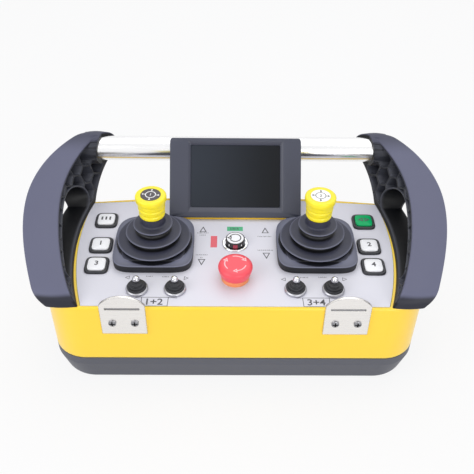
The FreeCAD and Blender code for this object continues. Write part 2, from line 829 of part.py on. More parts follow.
def toggle_switches():
    nuts, switches = [], []
    names = ("left_outer", "left_inner", "right_inner", "right_outer")
    for label, x in zip(names, toggle_places):
        hexagon = doc.addObject("Part::Prism", "nut_hexagon_%s" % label)
        hexagon.Polygon = 6
        bind(hexagon, "Circumradius", S.nut_width / 2 / as_size(30).cos())
        bind(hexagon, "Height", S.nut_thickness)
        place(hexagon, x, toggle_y, panel_top)
        thread = cylinder("nut_bore_%s" % label, S.collar_radius + S.shaft_play, S.nut_thickness,
                          (x, toggle_y, panel_top))
        nuts.append(cut("toggle_nut_%s" % label, hexagon, thread))

        case = centred_box("toggle_case_%s" % label,
                           (S.toggle_body_width, S.toggle_body_width, S.toggle_body_depth),
                           x, toggle_y, panel_under - S.toggle_body_depth)
        collar = cylinder("toggle_collar_%s" % label, S.collar_radius, S.panel_thickness + S.nut_thickness,
                          (x, toggle_y, panel_under))
        tail = S.lever_pivot + S.lever_radius + 2 * S.lever_pin_radius
        bore = cylinder("toggle_bore_%s" % label, S.lever_bore, tail + S.nut_thickness,
                        (x, toggle_y, panel_top - tail))
        bearing = cylinder("toggle_bearing_%s" % label, S.lever_pin_radius + S.shaft_play,
                           S.lever_pin_length + 2 * S.clearance,
                           (x, toggle_y - S.lever_pin_length / 2 - S.clearance, toggle_pivot_z), Y_AXIS)
        switches.append(cut("toggle_body_%s" % label, fuse("toggle_shell_%s" % label, case, collar),
                            bore, bearing))

        stem = revolved("toggle_stem_%s" % label, [
            (0, -S.lever_pivot - S.lever_radius),
            (S.lever_radius, -S.lever_pivot - S.lever_radius),
            (S.lever_radius, S.lever_tip_bottom),
            (S.lever_tip_radius, S.lever_tip_bottom + S.clearance),
            (S.lever_tip_radius, S.lever_top - S.lever_tip_radius / 2),
            (S.lever_tip_radius / 2, S.lever_top),
            (0, S.lever_top),
        ], x, toggle_y, panel_top)
        pivot = cylinder("toggle_pivot_%s" % label, S.lever_pin_radius, S.lever_pin_length,
                         (x, toggle_y - S.lever_pin_length / 2, toggle_pivot_z), Y_AXIS)
        node("toggle_lever_%s" % label, fuse("toggle_lever_%s" % label, stem, pivot))

        boot = revolved("toggle_boot_%s" % label, [
            (S.boot_radius - S.boot_wall, S.nut_thickness),
            (S.boot_radius, S.nut_thickness),
            (S.boot_top_radius, S.boot_top),
            (S.lever_radius + S.clearance, S.boot_top),
            (S.lever_radius + S.clearance, S.boot_top - S.boot_wall),
        ], x, toggle_y, panel_top)
        node("toggle_boot_%s" % label, boot)
    node("toggle_nuts", group("toggle_nuts", *nuts))
    node("toggle_bodies", group("toggle_bodies", *switches))


def emergency_stop():
    """A cup-shaped head that widens upwards and comes down over its collar when it is pushed."""
    bore = S.plunger_radius + S.shaft_play
    cup = S.estop_collar_radius + S.clearance
    rim = cup + S.estop_wall
    radius = rim + S.estop_flare
    crown = radius - S.estop_crown_inset
    cup_ceiling = S.estop_collar_height + S.estop_travel + S.clearance
    edge = cup_ceiling + S.clearance
    plunger_top = cup_ceiling + S.estop_socket
    top = plunger_top + S.clearance + S.estop_crown_thickness
    bulge = (top - edge) / 5
    underside = S.estop_travel + S.estop_lift
    head = revolved("estop_head", [
        (bore, S.estop_skirt_bottom),
        (S.estop_skirt_radius, S.estop_skirt_bottom),
        (S.estop_skirt_radius, cup_ceiling),
        (cup, cup_ceiling),
        (cup, underside),
        (rim, underside),
        (radius, edge, (radius + crown) / 2 + bulge, (edge + top) / 2 + bulge),
        (crown, top),
        (0, top),
        (0, plunger_top + S.clearance),
        (bore, plunger_top + S.clearance),
    ], 0, estop_y, panel_top)
    node("estop_head", head)
    skirt_room = S.estop_skirt_radius + S.clearance
    ring = cylinder("estop_ring", S.estop_collar_radius, S.estop_collar_height, (0, estop_y, panel_top))
    opening = cylinder("estop_ring_bore", skirt_room, S.estop_collar_height, (0, estop_y, panel_top))
    node("estop_collar", cut("estop_collar", ring, opening))
    node("estop_plunger", cylinder("estop_plunger", S.plunger_radius, plunger_top + S.plunger_depth,
                                   (0, estop_y, panel_top - S.plunger_depth)))
    block = centred_box("contact_case", (S.contact_block_width, S.contact_block_width, S.contact_block_depth),
                        as_size(0), estop_y, panel_under - S.contact_block_depth)
    skirt_well = S.estop_travel + S.wall
    well = cylinder("contact_well", skirt_room, skirt_well, (0, estop_y, panel_under - skirt_well))
    guide_depth = S.plunger_depth - S.panel_thickness + S.estop_travel + S.wall
    guide = cylinder("contact_guide", bore, guide_depth, (0, estop_y, panel_under - guide_depth))
    node("estop_contact_block", cut("estop_contact_block", block, well, guide))


def start_key():
    lift = S.key_collar_height + S.clearance
    handle = revolved("start_key_knob", [
        (0, -S.key_stem_length),
        (S.key_stem_radius, -S.key_stem_length),
        (S.key_stem_radius, lift),
        (S.key_radius, lift),
        (S.key_radius, S.key_top - S.key_edge),
        (S.key_radius - S.key_edge, S.key_top),
        (0, S.key_top),
    ], 0, key_y, panel_top)
    node("start_key_knob", handle)
    room = S.key_stem_radius + S.clearance
    ring = cylinder("key_ring", S.key_collar_radius, S.key_collar_height, (0, key_y, panel_top))
    opening = cylinder("key_ring_bore", room, S.key_collar_height, (0, key_y, panel_top))
    node("start_key_collar", cut("start_key_collar", ring, opening))
    barrel = cylinder("key_barrel", S.key_body_radius, S.key_body_depth,
                      (0, key_y, panel_under - S.key_body_depth))
    depth = S.key_stem_length - S.panel_thickness + S.clearance
    bore = cylinder("key_barrel_bore", room, depth, (0, key_y, panel_under - depth))
    node("start_key_switch", cut("start_key_switch", barrel, bore))


# Display on its pedestal, leaning back to face the user
def lean_back(body):
    turn(body, X_AXIS, 90 - S.display_lean.value)
    place(body, 0, pedestal_front, panel_top + S.pedestal_height + S.display_lift)
    return body


def slab(name, half, bottom, top, corner, rear, thickness):
    """A plate with round corners, lying in the display's own plane, behind its front face."""
    body = new_body(name)
    sketch = outline(sketch_on(body, "XY_Plane", name + "_outline", -rear - thickness),
                     rounded_rectangle(half, bottom, top, corner))
    pad(body, sketch, thickness)
    return body


def display():
    none = as_size(0)
    bezel = slab("display_bezel", S.display_width / 2, none, S.display_height, S.display_corner, none,
                 S.bezel_thickness)
    well_depth = S.glass_depth + S.glass_thickness
    opening = outline(sketch_on(bezel, "XY_Plane", "screen_opening"),
                      rounded_rectangle(S.screen_width / 2 + S.clearance, S.screen_rise - S.clearance,
                                        S.screen_rise + S.screen_height + S.clearance, S.display_corner / 2))
    pocket(bezel, opening, well_depth)
    node("display_bezel", lean_back(bezel))
    glass = slab("display_glass", S.screen_width / 2, S.screen_rise, S.screen_rise + S.screen_height,
                 S.display_corner / 2, S.glass_depth, S.glass_thickness)
    node("display_glass", lean_back(glass))
    back_top = S.display_back_bottom + S.display_back_height
    cover = slab("display_back_cover", S.display_back_width / 2, S.display_back_bottom, back_top,
                 S.display_corner, S.bezel_thickness, S.display_back_thickness)
    node("display_back_cover", lean_back(cover))

    sine, cosine = S.display_lean.sin(), S.display_lean.cos()
    depth = S.bezel_thickness + S.display_back_thickness

    def on_back(height):
        y = pedestal_front + sine * height + cosine * depth
        z = panel_top + S.pedestal_height + S.display_lift + cosine * height - sine * depth
        return y, z

    bracket = new_body("display_bracket")
    foot_rear = rear_y + S.bracket_reach
    profile = outline(sketch_on(bracket, "YZ_Plane", "bracket_profile", -S.bracket_width / 2), [
        (foot_rear - S.bracket_foot, panel_top),
        (foot_rear, panel_top),
        on_back(back_top - S.wall),
        on_back(S.display_back_bottom + S.wall),
    ])
    pad(bracket, profile, S.bracket_width)
    node("display_bracket", bracket)


# Cross tube and handles
tube_half = named("tube_half", panel_half + S.tube_entry)
socket_radius = named("socket_radius", S.tube_radius + S.socket_wall)


def cross_tube():
    start = (-tube_half, tube_y, tube_z)
    outside = cylinder("tube_outside", S.tube_radius, 2 * tube_half, start, X_AXIS)
    inside = cylinder("tube_inside", S.tube_radius - S.tube_wall, 2 * tube_half, start, X_AXIS)
    node("cross_tube", cut("cross_tube", outside, inside))


def bow(apex, end):
    """An arc that leaves the apex along Y and ends at the given point."""
    across, along = end.x - apex.x, end.y - apex.y
    radius = (across ** 2 + along ** 2) / (2 * abs(across))
    centre = apex.x + math.copysign(radius, across)
    half_turn = math.asin(abs(along) / radius) / 2
    middle = V(centre - math.copysign(radius * math.cos(half_turn), across),
               apex.y + math.copysign(radius * math.sin(half_turn), along), apex.z)
    return Part.Arc(apex, middle, end).toShape()


def crescent(height, inner, outer, front, rear, inner_y, outer_y):
    """A bowed strip seen from above; inner and outer are (front, widest, rear) distances from the middle."""
    inner_points = [V(-x, y, height) for x, y in zip(inner, (front, inner_y, rear))]
    outer_points = [V(-x, y, height) for x, y in zip(outer, (front, outer_y, rear))]
    edges = [
        bow(inner_points[1], inner_points[0]),
        bow(inner_points[1], inner_points[2]),
        Part.LineSegment(inner_points[2], outer_points[2]).toShape(),
        bow(outer_points[1], outer_points[2]),
        bow(outer_points[1], outer_points[0]),
        Part.LineSegment(outer_points[0], inner_points[0]).toShape(),
    ]
    return Part.Wire(Part.__sortEdges__(edges))


def handle_volume(skin, opening):
    """The space between the handle's leaning inner and outer surfaces.

    The outer surface is moved in by the skin, and the inner one towards the middle by the opening.
    Its front, rear and top run past the side view that trims it, so that no two faces coincide.
    """
    overrun = S.handle_overrun.value
    front = front_y.value + S.handle_front_step.value - overrun
    rear = tube_y.value + socket_radius.value + overrun
    bottom = panel_top.value
    height = tube_z.value + socket_radius.value - bottom
    top = bottom + height + overrun
    stretch = 1 + overrun / height
    rim = panel_half.value + S.handle_rim_gap.value
    tip = panel_half.value - S.handle_tip_inset.value
    foot = rim - S.panel_front_narrowing.value
    low_inner = (foot - opening, rim - opening, tip - opening)
    low_outer = (foot + S.handle_foot_width.value - skin, rim + S.handle_base_width.value - skin,
                 tip + S.handle_tip_width.value - skin)
    high_inner = (low_inner[0] + S.handle_foot_lean.value * stretch,
                  low_inner[1] + S.handle_lean_in.value * stretch, low_inner[2])
    high_outer = (low_outer[0] + S.handle_foot_spread.value * stretch,
                  low_outer[1] + S.handle_lean_out.value * stretch, low_outer[2])
    ends = (front, rear, S.panel_widest_y.value, S.handle_widest_y.value)
    low = crescent(bottom, low_inner, low_outer, *ends)
    high = crescent(top, high_inner, high_outer, *ends)
    return Part.makeLoft([low, high], True, True)


def side_face(points):
    """A face seen from the side. A point is (y, z), or (y, z, mid_y, mid_z) when an arc leaves it."""
    edges = []
    for point, after in zip(points, points[1:] + points[:1]):
        start, end = V(0, point[0], point[1]), V(0, after[0], after[1])
        if len(point) == 2:
            edges.append(Part.LineSegment(start, end).toShape())
        else:
            edges.append(Part.Arc(start, V(0, point[2], point[3]), end).toShape())
    return Part.Face(Part.Wire(edges))


def handle():
    """A D-shaped moulding: a smooth band over a grip opening, stiffened inside by a honeycomb of ribs."""
    span = V(-2 * housing_half.value, 0, 0)
    floor = panel_top.value
    front = front_y.value + S.handle_front_step.value
    axis_y, axis_z, reach = tube_y.value, tube_z.value, socket_radius.value

    def round_tube(degrees):
        angle = math.radians(degrees)
        return axis_y + reach * math.cos(angle), axis_z + reach * math.sin(angle)

    crease = (front + S.handle_foot_slope.value, floor + S.handle_foot_height.value)
    over, under = round_tube(100), round_tube(-45)
    crown = ((crease[0] + over[0]) / 2, (crease[1] + over[1]) / 2 + S.handle_crown.value)
    heel = (rear_y.value - S.handle_heel_inset.value, floor)
    sunk = floor - S.handle_overrun.value

    def below(point, end):
        """Where the line from a point to an end on the floor meets the sunk bottom of the side view."""
        share = (point[1] - sunk) / (point[1] - end[1])
        return point[0] + (end[0] - point[0]) * share, sunk

    side = side_face([below(crease, (front, floor)), crease + crown, over + round_tube(28), under,
                      below(under, heel)])

    slope = (over[1] - crease[1]) / (over[0] - crease[0])

    def under_band(y):
        return crease[1] + slope * (y - crease[0]) - S.band_depth.value

    sill = floor + S.handle_floor.value
    grip_front = front + S.grip_front.value
    grip_rear = rear_y.value - S.grip_rear.value
    arch = (grip_rear + S.grip_arch.value, (sill + under_band(grip_rear)) / 2)
    grip = side_face([(grip_front, sill), (grip_rear, sill) + arch, (grip_rear, under_band(grip_rear)),
                      (grip_front, under_band(grip_front))])

    ribbed = side.makeOffset2D(-S.handle_skin.value)
    sole = side_face([(front, floor), (front, sill), (axis_y, sill), (axis_y, floor)])
    socket = Part.Face(Part.Wire(Part.makeCircle(reach, V(0, axis_y, axis_z), X_AXIS)))
    ribbed = ribbed.cut([grip.makeOffset2D(S.band_lining.value), sole, socket])

    pitch = S.rib_pitch.value
    cell = (pitch - S.rib_wall.value) / math.sqrt(3)
    cells = []
    rows = int((axis_z + reach - floor) / (pitch * math.sqrt(0.75))) + 1
    columns = int((axis_y + reach - front) / pitch) + 1
    for row in range(rows):
        for column in range(columns):
            y = front + pitch * (column + row % 2 / 2)
            z = floor + pitch * math.sqrt(0.75) * row
            turns = [math.radians(60 * k) for k in range(7)]
            corners = [V(0, y + cell * math.sin(t), z + cell * math.cos(t)) for t in turns]
            cells += Part.Face(Part.makePolygon(corners)).common(ribbed).Faces
    pockets = [face.extrude(span) for face in cells if face.Area > S.smallest_cell.value]
    pockets = Part.makeCompound(pockets).common(handle_volume(S.handle_skin.value, S.handle_opening.value))

    bore = Part.makeCylinder(S.tube_radius.value + S.shaft_play.value, tube_half.value + S.shaft_play.value,
                             V(0, axis_y, axis_z), -X_AXIS)
    screws = [
        Part.makeCylinder(S.handle_screw_radius.value, S.handle_screw_grip.value, V(x.value, y.value, floor))
        for x, y in handle_screw_places[:2]
    ]
    boss_end = tube_half.value + S.handle_skin.value
    boss = Part.makeCylinder(reach, boss_end, V(0, axis_y, axis_z), -X_AXIS)
    margin = reach + S.handle_overrun.value
    boss_start = panel_half.value - S.socket_inset.value
    slant = margin * math.tan(math.radians(S.socket_slant.value))
    plan = [(boss_start + slant, -margin), (boss_start - slant, margin),
            (boss_end + margin, margin), (boss_end + margin, -margin)]
    corners = [V(-x, axis_y + y, axis_z - margin) for x, y in plan + plan[:1]]
    boss = boss.common(Part.Face(Part.makePolygon(corners)).extrude(V(0, 0, 2 * margin)))
    body = handle_volume(0, 0).common(side.extrude(span)).fuse(boss)
    return body.cut([grip.extrude(span), pockets, bore] + screws).removeSplitter()


def handles():
    left = handle()
    for side, shape in (("left", left), ("right", left.mirror(V(0, 0, 0), X_AXIS))):
        feature = doc.addObject("Part::Feature", "%s_handle" % side)
        feature.Shape = shape
        node("%s_handle" % side, feature)


# Strap plates and fasteners
def strap_plates():
    for side, sign in SIDES.items():
        name = "%s_strap_plate" % side
        body = new_body(name)
        half = S.strap_width / 2
        blank = outline(sketch_on(body, "XZ_Plane", name + "_blank"), [
            (-half, -S.strap_below),
            (half, -S.strap_below),
            (half, S.strap_shoulder, as_size(0), S.strap_above),
            (-half, S.strap_shoulder),
        ])
        pad(body, blank, S.strap_thickness)
        slot_half = S.slot_width / 2
        slot = outline(sketch_on(body, "XZ_Plane", name + "_slot"), [
            (-slot_half, S.slot_bottom),
            (slot_half, S.slot_bottom),
            (slot_half, S.slot_bottom + S.slot_height),
            (-slot_half, S.slot_bottom + S.slot_height),
        ])
        pocket(body, slot, S.strap_thickness, reverse=True)
        holes = circles(sketch_on(body, "XZ_Plane", name + "_holes"), [
            (end * S.strap_screw_spacing / 2, -S.strap_screw_drop, S.strap_screw_radius)
            for end in (-1, 1)
        ])
        pocket(body, holes, S.strap_thickness, reverse=True)
        node(name, place(body, sign * S.strap_x, front_y, panel_top))


def screws():
    strap = []
    head_y = front_y - S.strap_thickness - S.strap_screw_head_height
    for x in strap_screw_places:
        head = cylinder("strap_screw_head", S.strap_screw_head, S.strap_screw_head_height,
                        (x, head_y, strap_screw_z), Y_AXIS)
        shank = cylinder("strap_screw_shank", S.strap_screw_radius, S.strap_screw_length,
                         (x, front_y - S.strap_thickness, strap_screw_z), Y_AXIS)
        strap.append(fuse("strap_screw", head, shank))
    node("strap_plate_screws", group("strap_plate_screws", *strap))

    upright = []
    for x, y in handle_screw_places:
        head = cylinder("handle_screw_cap", S.handle_screw_head, S.screw_head_height,
                        (x, y, ceiling - S.screw_head_height))
        shank = cylinder("handle_screw_shank", S.handle_screw_radius,
                         panel_top - ceiling + S.handle_screw_grip, (x, y, ceiling))
        upright.append(fuse("handle_screw", head, shank))
    node("handle_screws", group("handle_screws", *upright))

    base = []
    for x, y in post_places:
        head = cylinder("base_screw_cap", S.base_screw_head, S.screw_head_height, (x, y, as_size(0)))
        shank = cylinder("base_screw_shank", S.base_screw_radius,
                         seam_z - S.screw_head_height + S.base_screw_grip, (x, y, S.screw_head_height))
        base.append(fuse("base_screw", head, shank))
    node("base_screws", group("base_screws", *base))


# Inside
def electronics():
    node("circuit_board", centred_box("circuit_board", (S.board_width, S.board_depth, S.board_thickness),
                                      as_size(0), S.board_y, S.board_height))
    node("radio_module", centred_box("radio_module", (S.radio_width, S.radio_depth, S.radio_height),
                                     as_size(0), S.board_y, S.board_height + S.board_thickness))
    node("battery_pack", centred_box("battery_pack", (S.battery_width, S.battery_depth, S.battery_height),
                                     as_size(0), S.battery_y, S.clearance))


def main():
    upper_housing()
    lower_housing()
    gasket()
    face_panel()
    for side, sign in SIDES.items():
        bellows(side, sign * S.stick_x)
        knob(side, sign * S.stick_x)
        stick_mechanism(side, sign * S.stick_x)
    push_buttons()
    toggle_switches()
    emergency_stop()
    start_key()
    display()
    cross_tube()
    handles()
    strap_plates()
    screws()
    electronics()
    doc.recompute()

    for thing in doc.Objects:
        if "Invalid" in thing.State or "Error" in thing.State:
            raise RuntimeError("%s did not recompute: %s" % (thing.Label, thing.State))
    for name, thing in nodes.items():
        if thing.Shape.isNull() or not thing.Shape.isValid() or not thing.Shape.Solids:
            raise RuntimeError("%s has no valid solid" % name)
    os.makedirs("parts", exist_ok=True)
    for name, thing in nodes.items():
        thing.Shape.exportStep("parts/%s.step" % name)


main()
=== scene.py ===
# %% [markdown]
# # A belly-box radio remote control
# The part arrives from CAD as separate solids that already sit in their places. This script dresses them:
# it sets the camera and the light, gives every surface a finish, and swaps the solids that need softer or
# finer shapes for surfaces that are worked out with numpy. Blender works in metres, and MM turns the
# millimetres in which hand controls are easier to read into metres.

# %% Load the solids
import json

import bmesh
import bpy
import numpy as np
from mathutils import Matrix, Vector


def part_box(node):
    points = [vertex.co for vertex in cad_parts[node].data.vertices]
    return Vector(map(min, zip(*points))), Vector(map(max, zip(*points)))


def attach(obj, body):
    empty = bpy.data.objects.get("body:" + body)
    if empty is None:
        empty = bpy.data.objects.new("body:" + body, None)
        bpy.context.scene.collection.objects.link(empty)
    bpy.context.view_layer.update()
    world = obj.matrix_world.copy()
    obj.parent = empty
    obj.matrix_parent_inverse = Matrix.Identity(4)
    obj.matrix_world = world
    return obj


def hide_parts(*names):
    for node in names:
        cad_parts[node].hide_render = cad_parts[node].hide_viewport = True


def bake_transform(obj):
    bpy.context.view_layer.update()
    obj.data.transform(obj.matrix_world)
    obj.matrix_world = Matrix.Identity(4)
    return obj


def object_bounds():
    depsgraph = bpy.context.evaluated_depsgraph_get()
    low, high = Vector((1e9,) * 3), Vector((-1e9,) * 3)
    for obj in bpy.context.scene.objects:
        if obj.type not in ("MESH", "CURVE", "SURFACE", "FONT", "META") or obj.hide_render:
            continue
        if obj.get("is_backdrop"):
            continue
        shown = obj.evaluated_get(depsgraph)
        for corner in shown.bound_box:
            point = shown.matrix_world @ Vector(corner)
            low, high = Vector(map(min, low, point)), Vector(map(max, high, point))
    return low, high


MM = 0.001
SIDES = {"left": -1, "right": 1}
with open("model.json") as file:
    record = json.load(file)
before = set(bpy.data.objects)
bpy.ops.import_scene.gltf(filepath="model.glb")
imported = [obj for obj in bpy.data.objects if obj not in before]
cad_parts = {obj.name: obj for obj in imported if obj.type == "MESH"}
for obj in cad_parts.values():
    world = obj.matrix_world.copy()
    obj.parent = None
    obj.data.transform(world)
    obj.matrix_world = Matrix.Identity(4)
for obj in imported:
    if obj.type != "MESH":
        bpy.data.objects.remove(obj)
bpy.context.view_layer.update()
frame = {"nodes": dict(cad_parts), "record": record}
nodes = frame["nodes"]


def span(node):
    """The lowest and highest corner of a solid's box, in millimetres."""
    low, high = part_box(node)
    return np.array(low) / MM, np.array(high) / MM


def middle(node):
    """The middle of a solid's box, in millimetres."""
    low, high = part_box(node)
    return (np.array(low) + np.array(high)) / 2 / MM


PANEL_TOP = span("face_panel")[1][2]


def on_panel(node, height=0.0):
    """The middle of a solid as seen from above, at a height over the face panel."""
    return np.append(middle(node)[:2], PANEL_TOP + height)


print("face panel at", round(PANEL_TOP, 2), "mm")

# %% [markdown]
# ## Camera
# The camera's place was found by fitting known edges of the panel, display and base. Its three axes are
# built from a downward angle, a small yaw and a small roll, and written as a rotation matrix. A lens
# length on a 36 mm wide sensor gives the perspective; the picture is square, so no shift is needed.

# %% Camera
CAMERA_PLACE = np.array([-3.96, -474.9, 494.4])
CAMERA_DOWN, CAMERA_YAW, CAMERA_ROLL = np.radians((40.494, 0.678, 0.756))
LENS, SENSOR = 52.41, 36


def shown(name, data):
    """A new object of the scene."""
    made = bpy.data.objects.new(name, data)
    bpy.context.scene.collection.objects.link(made)
    return made


def aim(thing, place, ahead, right):
    """Puts a camera or a lamp at a place in millimetres. Its axes are right, up and back."""
    matrix = np.eye(4)
    matrix[:3, :3] = np.stack([right, np.cross(right, ahead), -ahead], axis=1)
    matrix[:3, 3] = np.array(place) * MM
    thing.matrix_world = Matrix(matrix.tolist())


def camera_directions(down, yaw, roll):
    """The ahead and right directions of a camera that looks along +Y, turned by yaw, down and roll."""
    ahead = np.array([np.sin(yaw) * np.cos(down), np.cos(yaw) * np.cos(down), -np.sin(down)])
    level = np.array([np.cos(yaw), -np.sin(yaw), 0.0])
    return ahead, level * np.cos(roll) + np.cross(level, ahead) * np.sin(roll)


camera_data = bpy.data.cameras.new("camera")
camera_data.sensor_width = SENSOR
camera_data.lens = LENS
camera = shown("camera", camera_data)
aim(camera, CAMERA_PLACE, *camera_directions(CAMERA_DOWN, CAMERA_YAW, CAMERA_ROLL))
bpy.context.scene.camera = camera
print("camera at", CAMERA_PLACE, "mm")

# %% [markdown]
# ## Shader maths as Python
# A material is a graph of nodes, and a formula drawn as nodes is hard to read. The small class below wraps
# an output socket, so that `1 - mask * 0.5` adds the Math nodes by itself. Every other node comes from one
# method, which takes the node's type, the values or links of its sockets, and its settings.

# %% Shader maths


class Socket:
    """An output socket of a shader graph that can be used in Python arithmetic."""

    def __init__(self, graph, socket):
        self.graph = graph
        self.socket = socket

    def maths(self, operation, other):
        return self.graph.node("Math", {0: self, 1: other}, operation=operation)

    def __add__(self, other):
        return self.maths("ADD", other)

    def __mul__(self, other):
        return self.maths("MULTIPLY", other)

    def __sub__(self, other):
        return self.maths("SUBTRACT", other)

    def __rsub__(self, other):
        return (self * -1.0) + other

    __radd__ = __add__


class Graph:
    """A node tree to which nodes are added by type, settings and sockets."""

    def __init__(self, tree):
        self.tree = tree

    def node(self, kind, sockets=None, out=0, **settings):
        """One of the outputs of a new node, whose sockets get values or links."""
        added = self.tree.nodes.new("ShaderNode" + kind)
        for key, value in settings.items():
            setattr(added, key, value)
        for key, value in (sockets or {}).items():
            self.feed(added.inputs[key], value)
        return Socket(self, added.outputs[out])

    def feed(self, target, value):
        if isinstance(value, Socket):
            self.tree.links.new(value.socket, target)
        else:
            target.default_value = value

    def seen_directly(self):
        """1 for camera, mirror and glass rays, and 0 for the soft light that surfaces pass to each other."""
        straight, mirror, glass = [self.node("LightPath", out="Is %s Ray" % kind)
                                   for kind in ("Camera", "Glossy", "Transmission")]
        return straight.maths("MAXIMUM", mirror.maths("MAXIMUM", glass))


class Finish(Graph):
    """A material whose surface is one Principled shader."""

    def __init__(self, **inputs):
        self.material = bpy.data.materials.new("finish")
        self.material.use_nodes = True
        super().__init__(self.material.node_tree)
        self.surface = self.tree.nodes["Principled BSDF"]
        self.set(**inputs)

    def set(self, **inputs):
        for key, value in inputs.items():
            self.feed(self.surface.inputs[key.replace("_", " ")], value)

    def place(self, scale=(1, 1, 1)):
        """The piece's own coordinates in metres, stretched by scale."""
        here = self.node("TexCoord", out="Object")
        return self.node("Mapping", {"Vector": here, "Scale": scale})

    def marked(self, name):
        """The values from 0 to 1 that a piece carries under a name, or 0 where it has none."""
        return self.node("Attribute", out="Fac", attribute_name=name)

    def noise(self, size, detail=2.0, stretch=(1, 1, 1)):
        """Soft random values from 0 to 1, with blots about size millimetres across."""
        where = self.place(stretch)
        return self.node("TexNoise", {"Vector": where, "Scale": 1 / (size * MM), "Detail": detail})

    def uneven(self, roughness):
        """The roughness with soft blots of more and of less gloss."""
        return (self.noise(9, 3.0) - 0.5) * 0.08 + roughness

    def mix(self, share, first, second):
        """A colour that goes from first to second as share goes from 0 to 1."""
        return self.node("Mix", {0: share, 6: first, 7: second}, 2, data_type="RGBA")

    def ramp(self, value, low, high):
        """A soft step from 0 to 1 as the value goes from low to high."""
        limits = {"Value": value, "From Min": low, "From Max": high}
        return self.node("MapRange", limits, interpolation_type="SMOOTHSTEP")

    def soft_edges(self, radius, tone, painted_edge_tone):
        """The tone, which changes to the given edge tone within radius millimetres of an edge, as a painted
        highlight or painted shade, and the surface direction, which turns softly there. A radius of 0 leaves both
        alone."""
        if not radius:
            return tone, None
        turned = self.node("Bevel", {"Radius": radius * MM}, samples=6)
        flat = self.node("NewGeometry", out="Normal")
        agree = self.node("VectorMath", {0: turned, 1: flat}, "Value", operation="DOT_PRODUCT")
        return self.mix(self.ramp(1 - agree, 0.01, 0.2), tone, painted_edge_tone), turned

    def done(self, tone, roughness, height=None, depth=0.0, normal=None):
        """The material with its colour, its roughness and a relief: a height of 0 to 1 stands for depth
        millimetres."""
        self.set(Base_Color=tone, Roughness=roughness)
        if height:
            relief = {"Height": height, "Distance": depth * MM}
            if normal:
                relief["Normal"] = normal
            self.set(Normal=self.node("Bump", relief))
        return self.material


def srgb(red, green, blue):
    """A colour given as 0 to 255 on the screen, as the linear values that a shader needs."""
    share = np.array([red, green, blue]) / 255
    linear = np.where(share <= 0.04045, share / 12.92, ((share + 0.055) / 1.055) ** 2.4)
    return (*linear.tolist(), 1.0)


print("shader helpers ready")

# %% [markdown]
# ## Finishes
# The remote has few materials, and each has its own small-scale detail. Moulded plastic carries a fine spark
# texture and slightly uneven gloss, rubber is dull with paler dust, the panel is a satin foil, the strap
# plates are brushed along their width, and the tube is polished with faint smears. The patterns are noise on
# the object's own coordinates, so they stay put when a piece moves. Solids from CAD have sharp edges, and no
# real edge is sharp: there the shader rounds the surface direction within a few millimetres of an edge, which
# gives the thin line of light, and the same measure paints a highlight or a shade along the edge. Some finishes
# carry more painted light and shade: the handles' inside, the bellows' hollows and the screw crosses are painted
# dark, rib edges and bellows lips get painted highlights, and the screen glass a painted reflection.

# %% Finishes


def shade(colour, share):
    """A colour made darker or paler by a factor."""
    return tuple(v * share for v in colour[:3]) + (1.0,)


def moulded(colour, roughness, grain=0.35, depth=0.02, mottle=0.06, edge=0.0, painted_edge_tone=1.0, shine=0.5, coat=0.0):
    """Injection-moulded plastic: a fine texture of grain millimetres, and soft unevenness in tone and gloss.
    An edge above 0 softens the solid's corners over that many millimetres, and the edge tone is the tone painted
    along them as a highlight or as shade, given as a factor or a colour."""
    finish = Finish(Specular_IOR_Level=shine, Coat_Weight=coat, Coat_Roughness=0.12)
    tone = finish.mix(finish.noise(38), shade(colour, 1 - mottle), colour)
    along = painted_edge_tone if isinstance(painted_edge_tone, tuple) else shade(colour, painted_edge_tone)
    tone, corner = finish.soft_edges(edge, tone, along)
    return finish.done(tone, finish.uneven(roughness), finish.noise(grain), depth, corner)


def ribbed_shell(outside, inside, rib_highlight):
    """The handles' plastic, one grey moulding with painted light: a matt lit side, a darker, glossier inside painted
    as shade, and rib edges with a painted highlight. The handle's own marks say where the lit side and the rib edges
    are."""
    finish = Finish(Specular_IOR_Level=0.25)
    # The lit side is painted light, the inside colour is painted shade of the same plastic, and rib edges get a
    # painted highlight.
    lit_share, cloud = finish.marked("outside"), finish.noise(30)
    inner = finish.mix(finish.marked("pale_edge"), finish.mix(cloud, inside, shade(inside, 0.8)), rib_highlight)
    outer = finish.mix(cloud, shade(outside, 0.95), outside)
    tone = finish.mix(lit_share, inner, outer)
    return finish.done(tone, finish.uneven(0.42 + lit_share * 0.12), finish.noise(0.55), 0.03)


def rubber(colour, dust, lip):
    """Moulded rubber: dull and dark, with a little pale dust in soft patches. Lips marked for a painted highlight
    take the lip colour and a little less roughness, and points marked for painted shade turn nearly black, without
    dust."""
    finish = Finish()
    patches, along = finish.noise(14, 4.0), finish.marked("pale_edge")
    tone = finish.mix(finish.marked("hollow"), finish.mix(patches, colour, dust), shade(colour, 0.1))
    roughness = 0.44 + patches * 0.14 - along * 0.1
    return finish.done(finish.mix(along, tone, lip), roughness, finish.noise(0.5, 3.0), 0.03)


def brushed(colour, stretch, roughness, edge=0.0, painted_edge_tone=1.0):
    """Metal brushed in one direction: noise drawn out into fine lines that change the gloss and the relief."""
    finish = Finish(Metallic=1.0)
    lines = finish.noise(1.2, 4.0, stretch)
    # Points marked for painted shade turn nearly black.
    tone = finish.mix(finish.marked("hollow"), finish.mix(lines, shade(colour, 0.9), colour), shade(colour, 0.06))
    tone, corner = finish.soft_edges(edge, tone, shade(colour, painted_edge_tone))
    return finish.done(tone, roughness + lines * 0.12, lines, 0.006, corner)


def polished(colour, roughness):
    """Bright metal with faint smears."""
    finish = Finish(Metallic=1.0)
    smears = finish.noise(16, 3.0, (0.25, 1, 1))
    tone = finish.mix(smears, shade(colour, 0.97), colour)
    return finish.done(tone, roughness + smears * 0.06, finish.noise(4), 0.004)


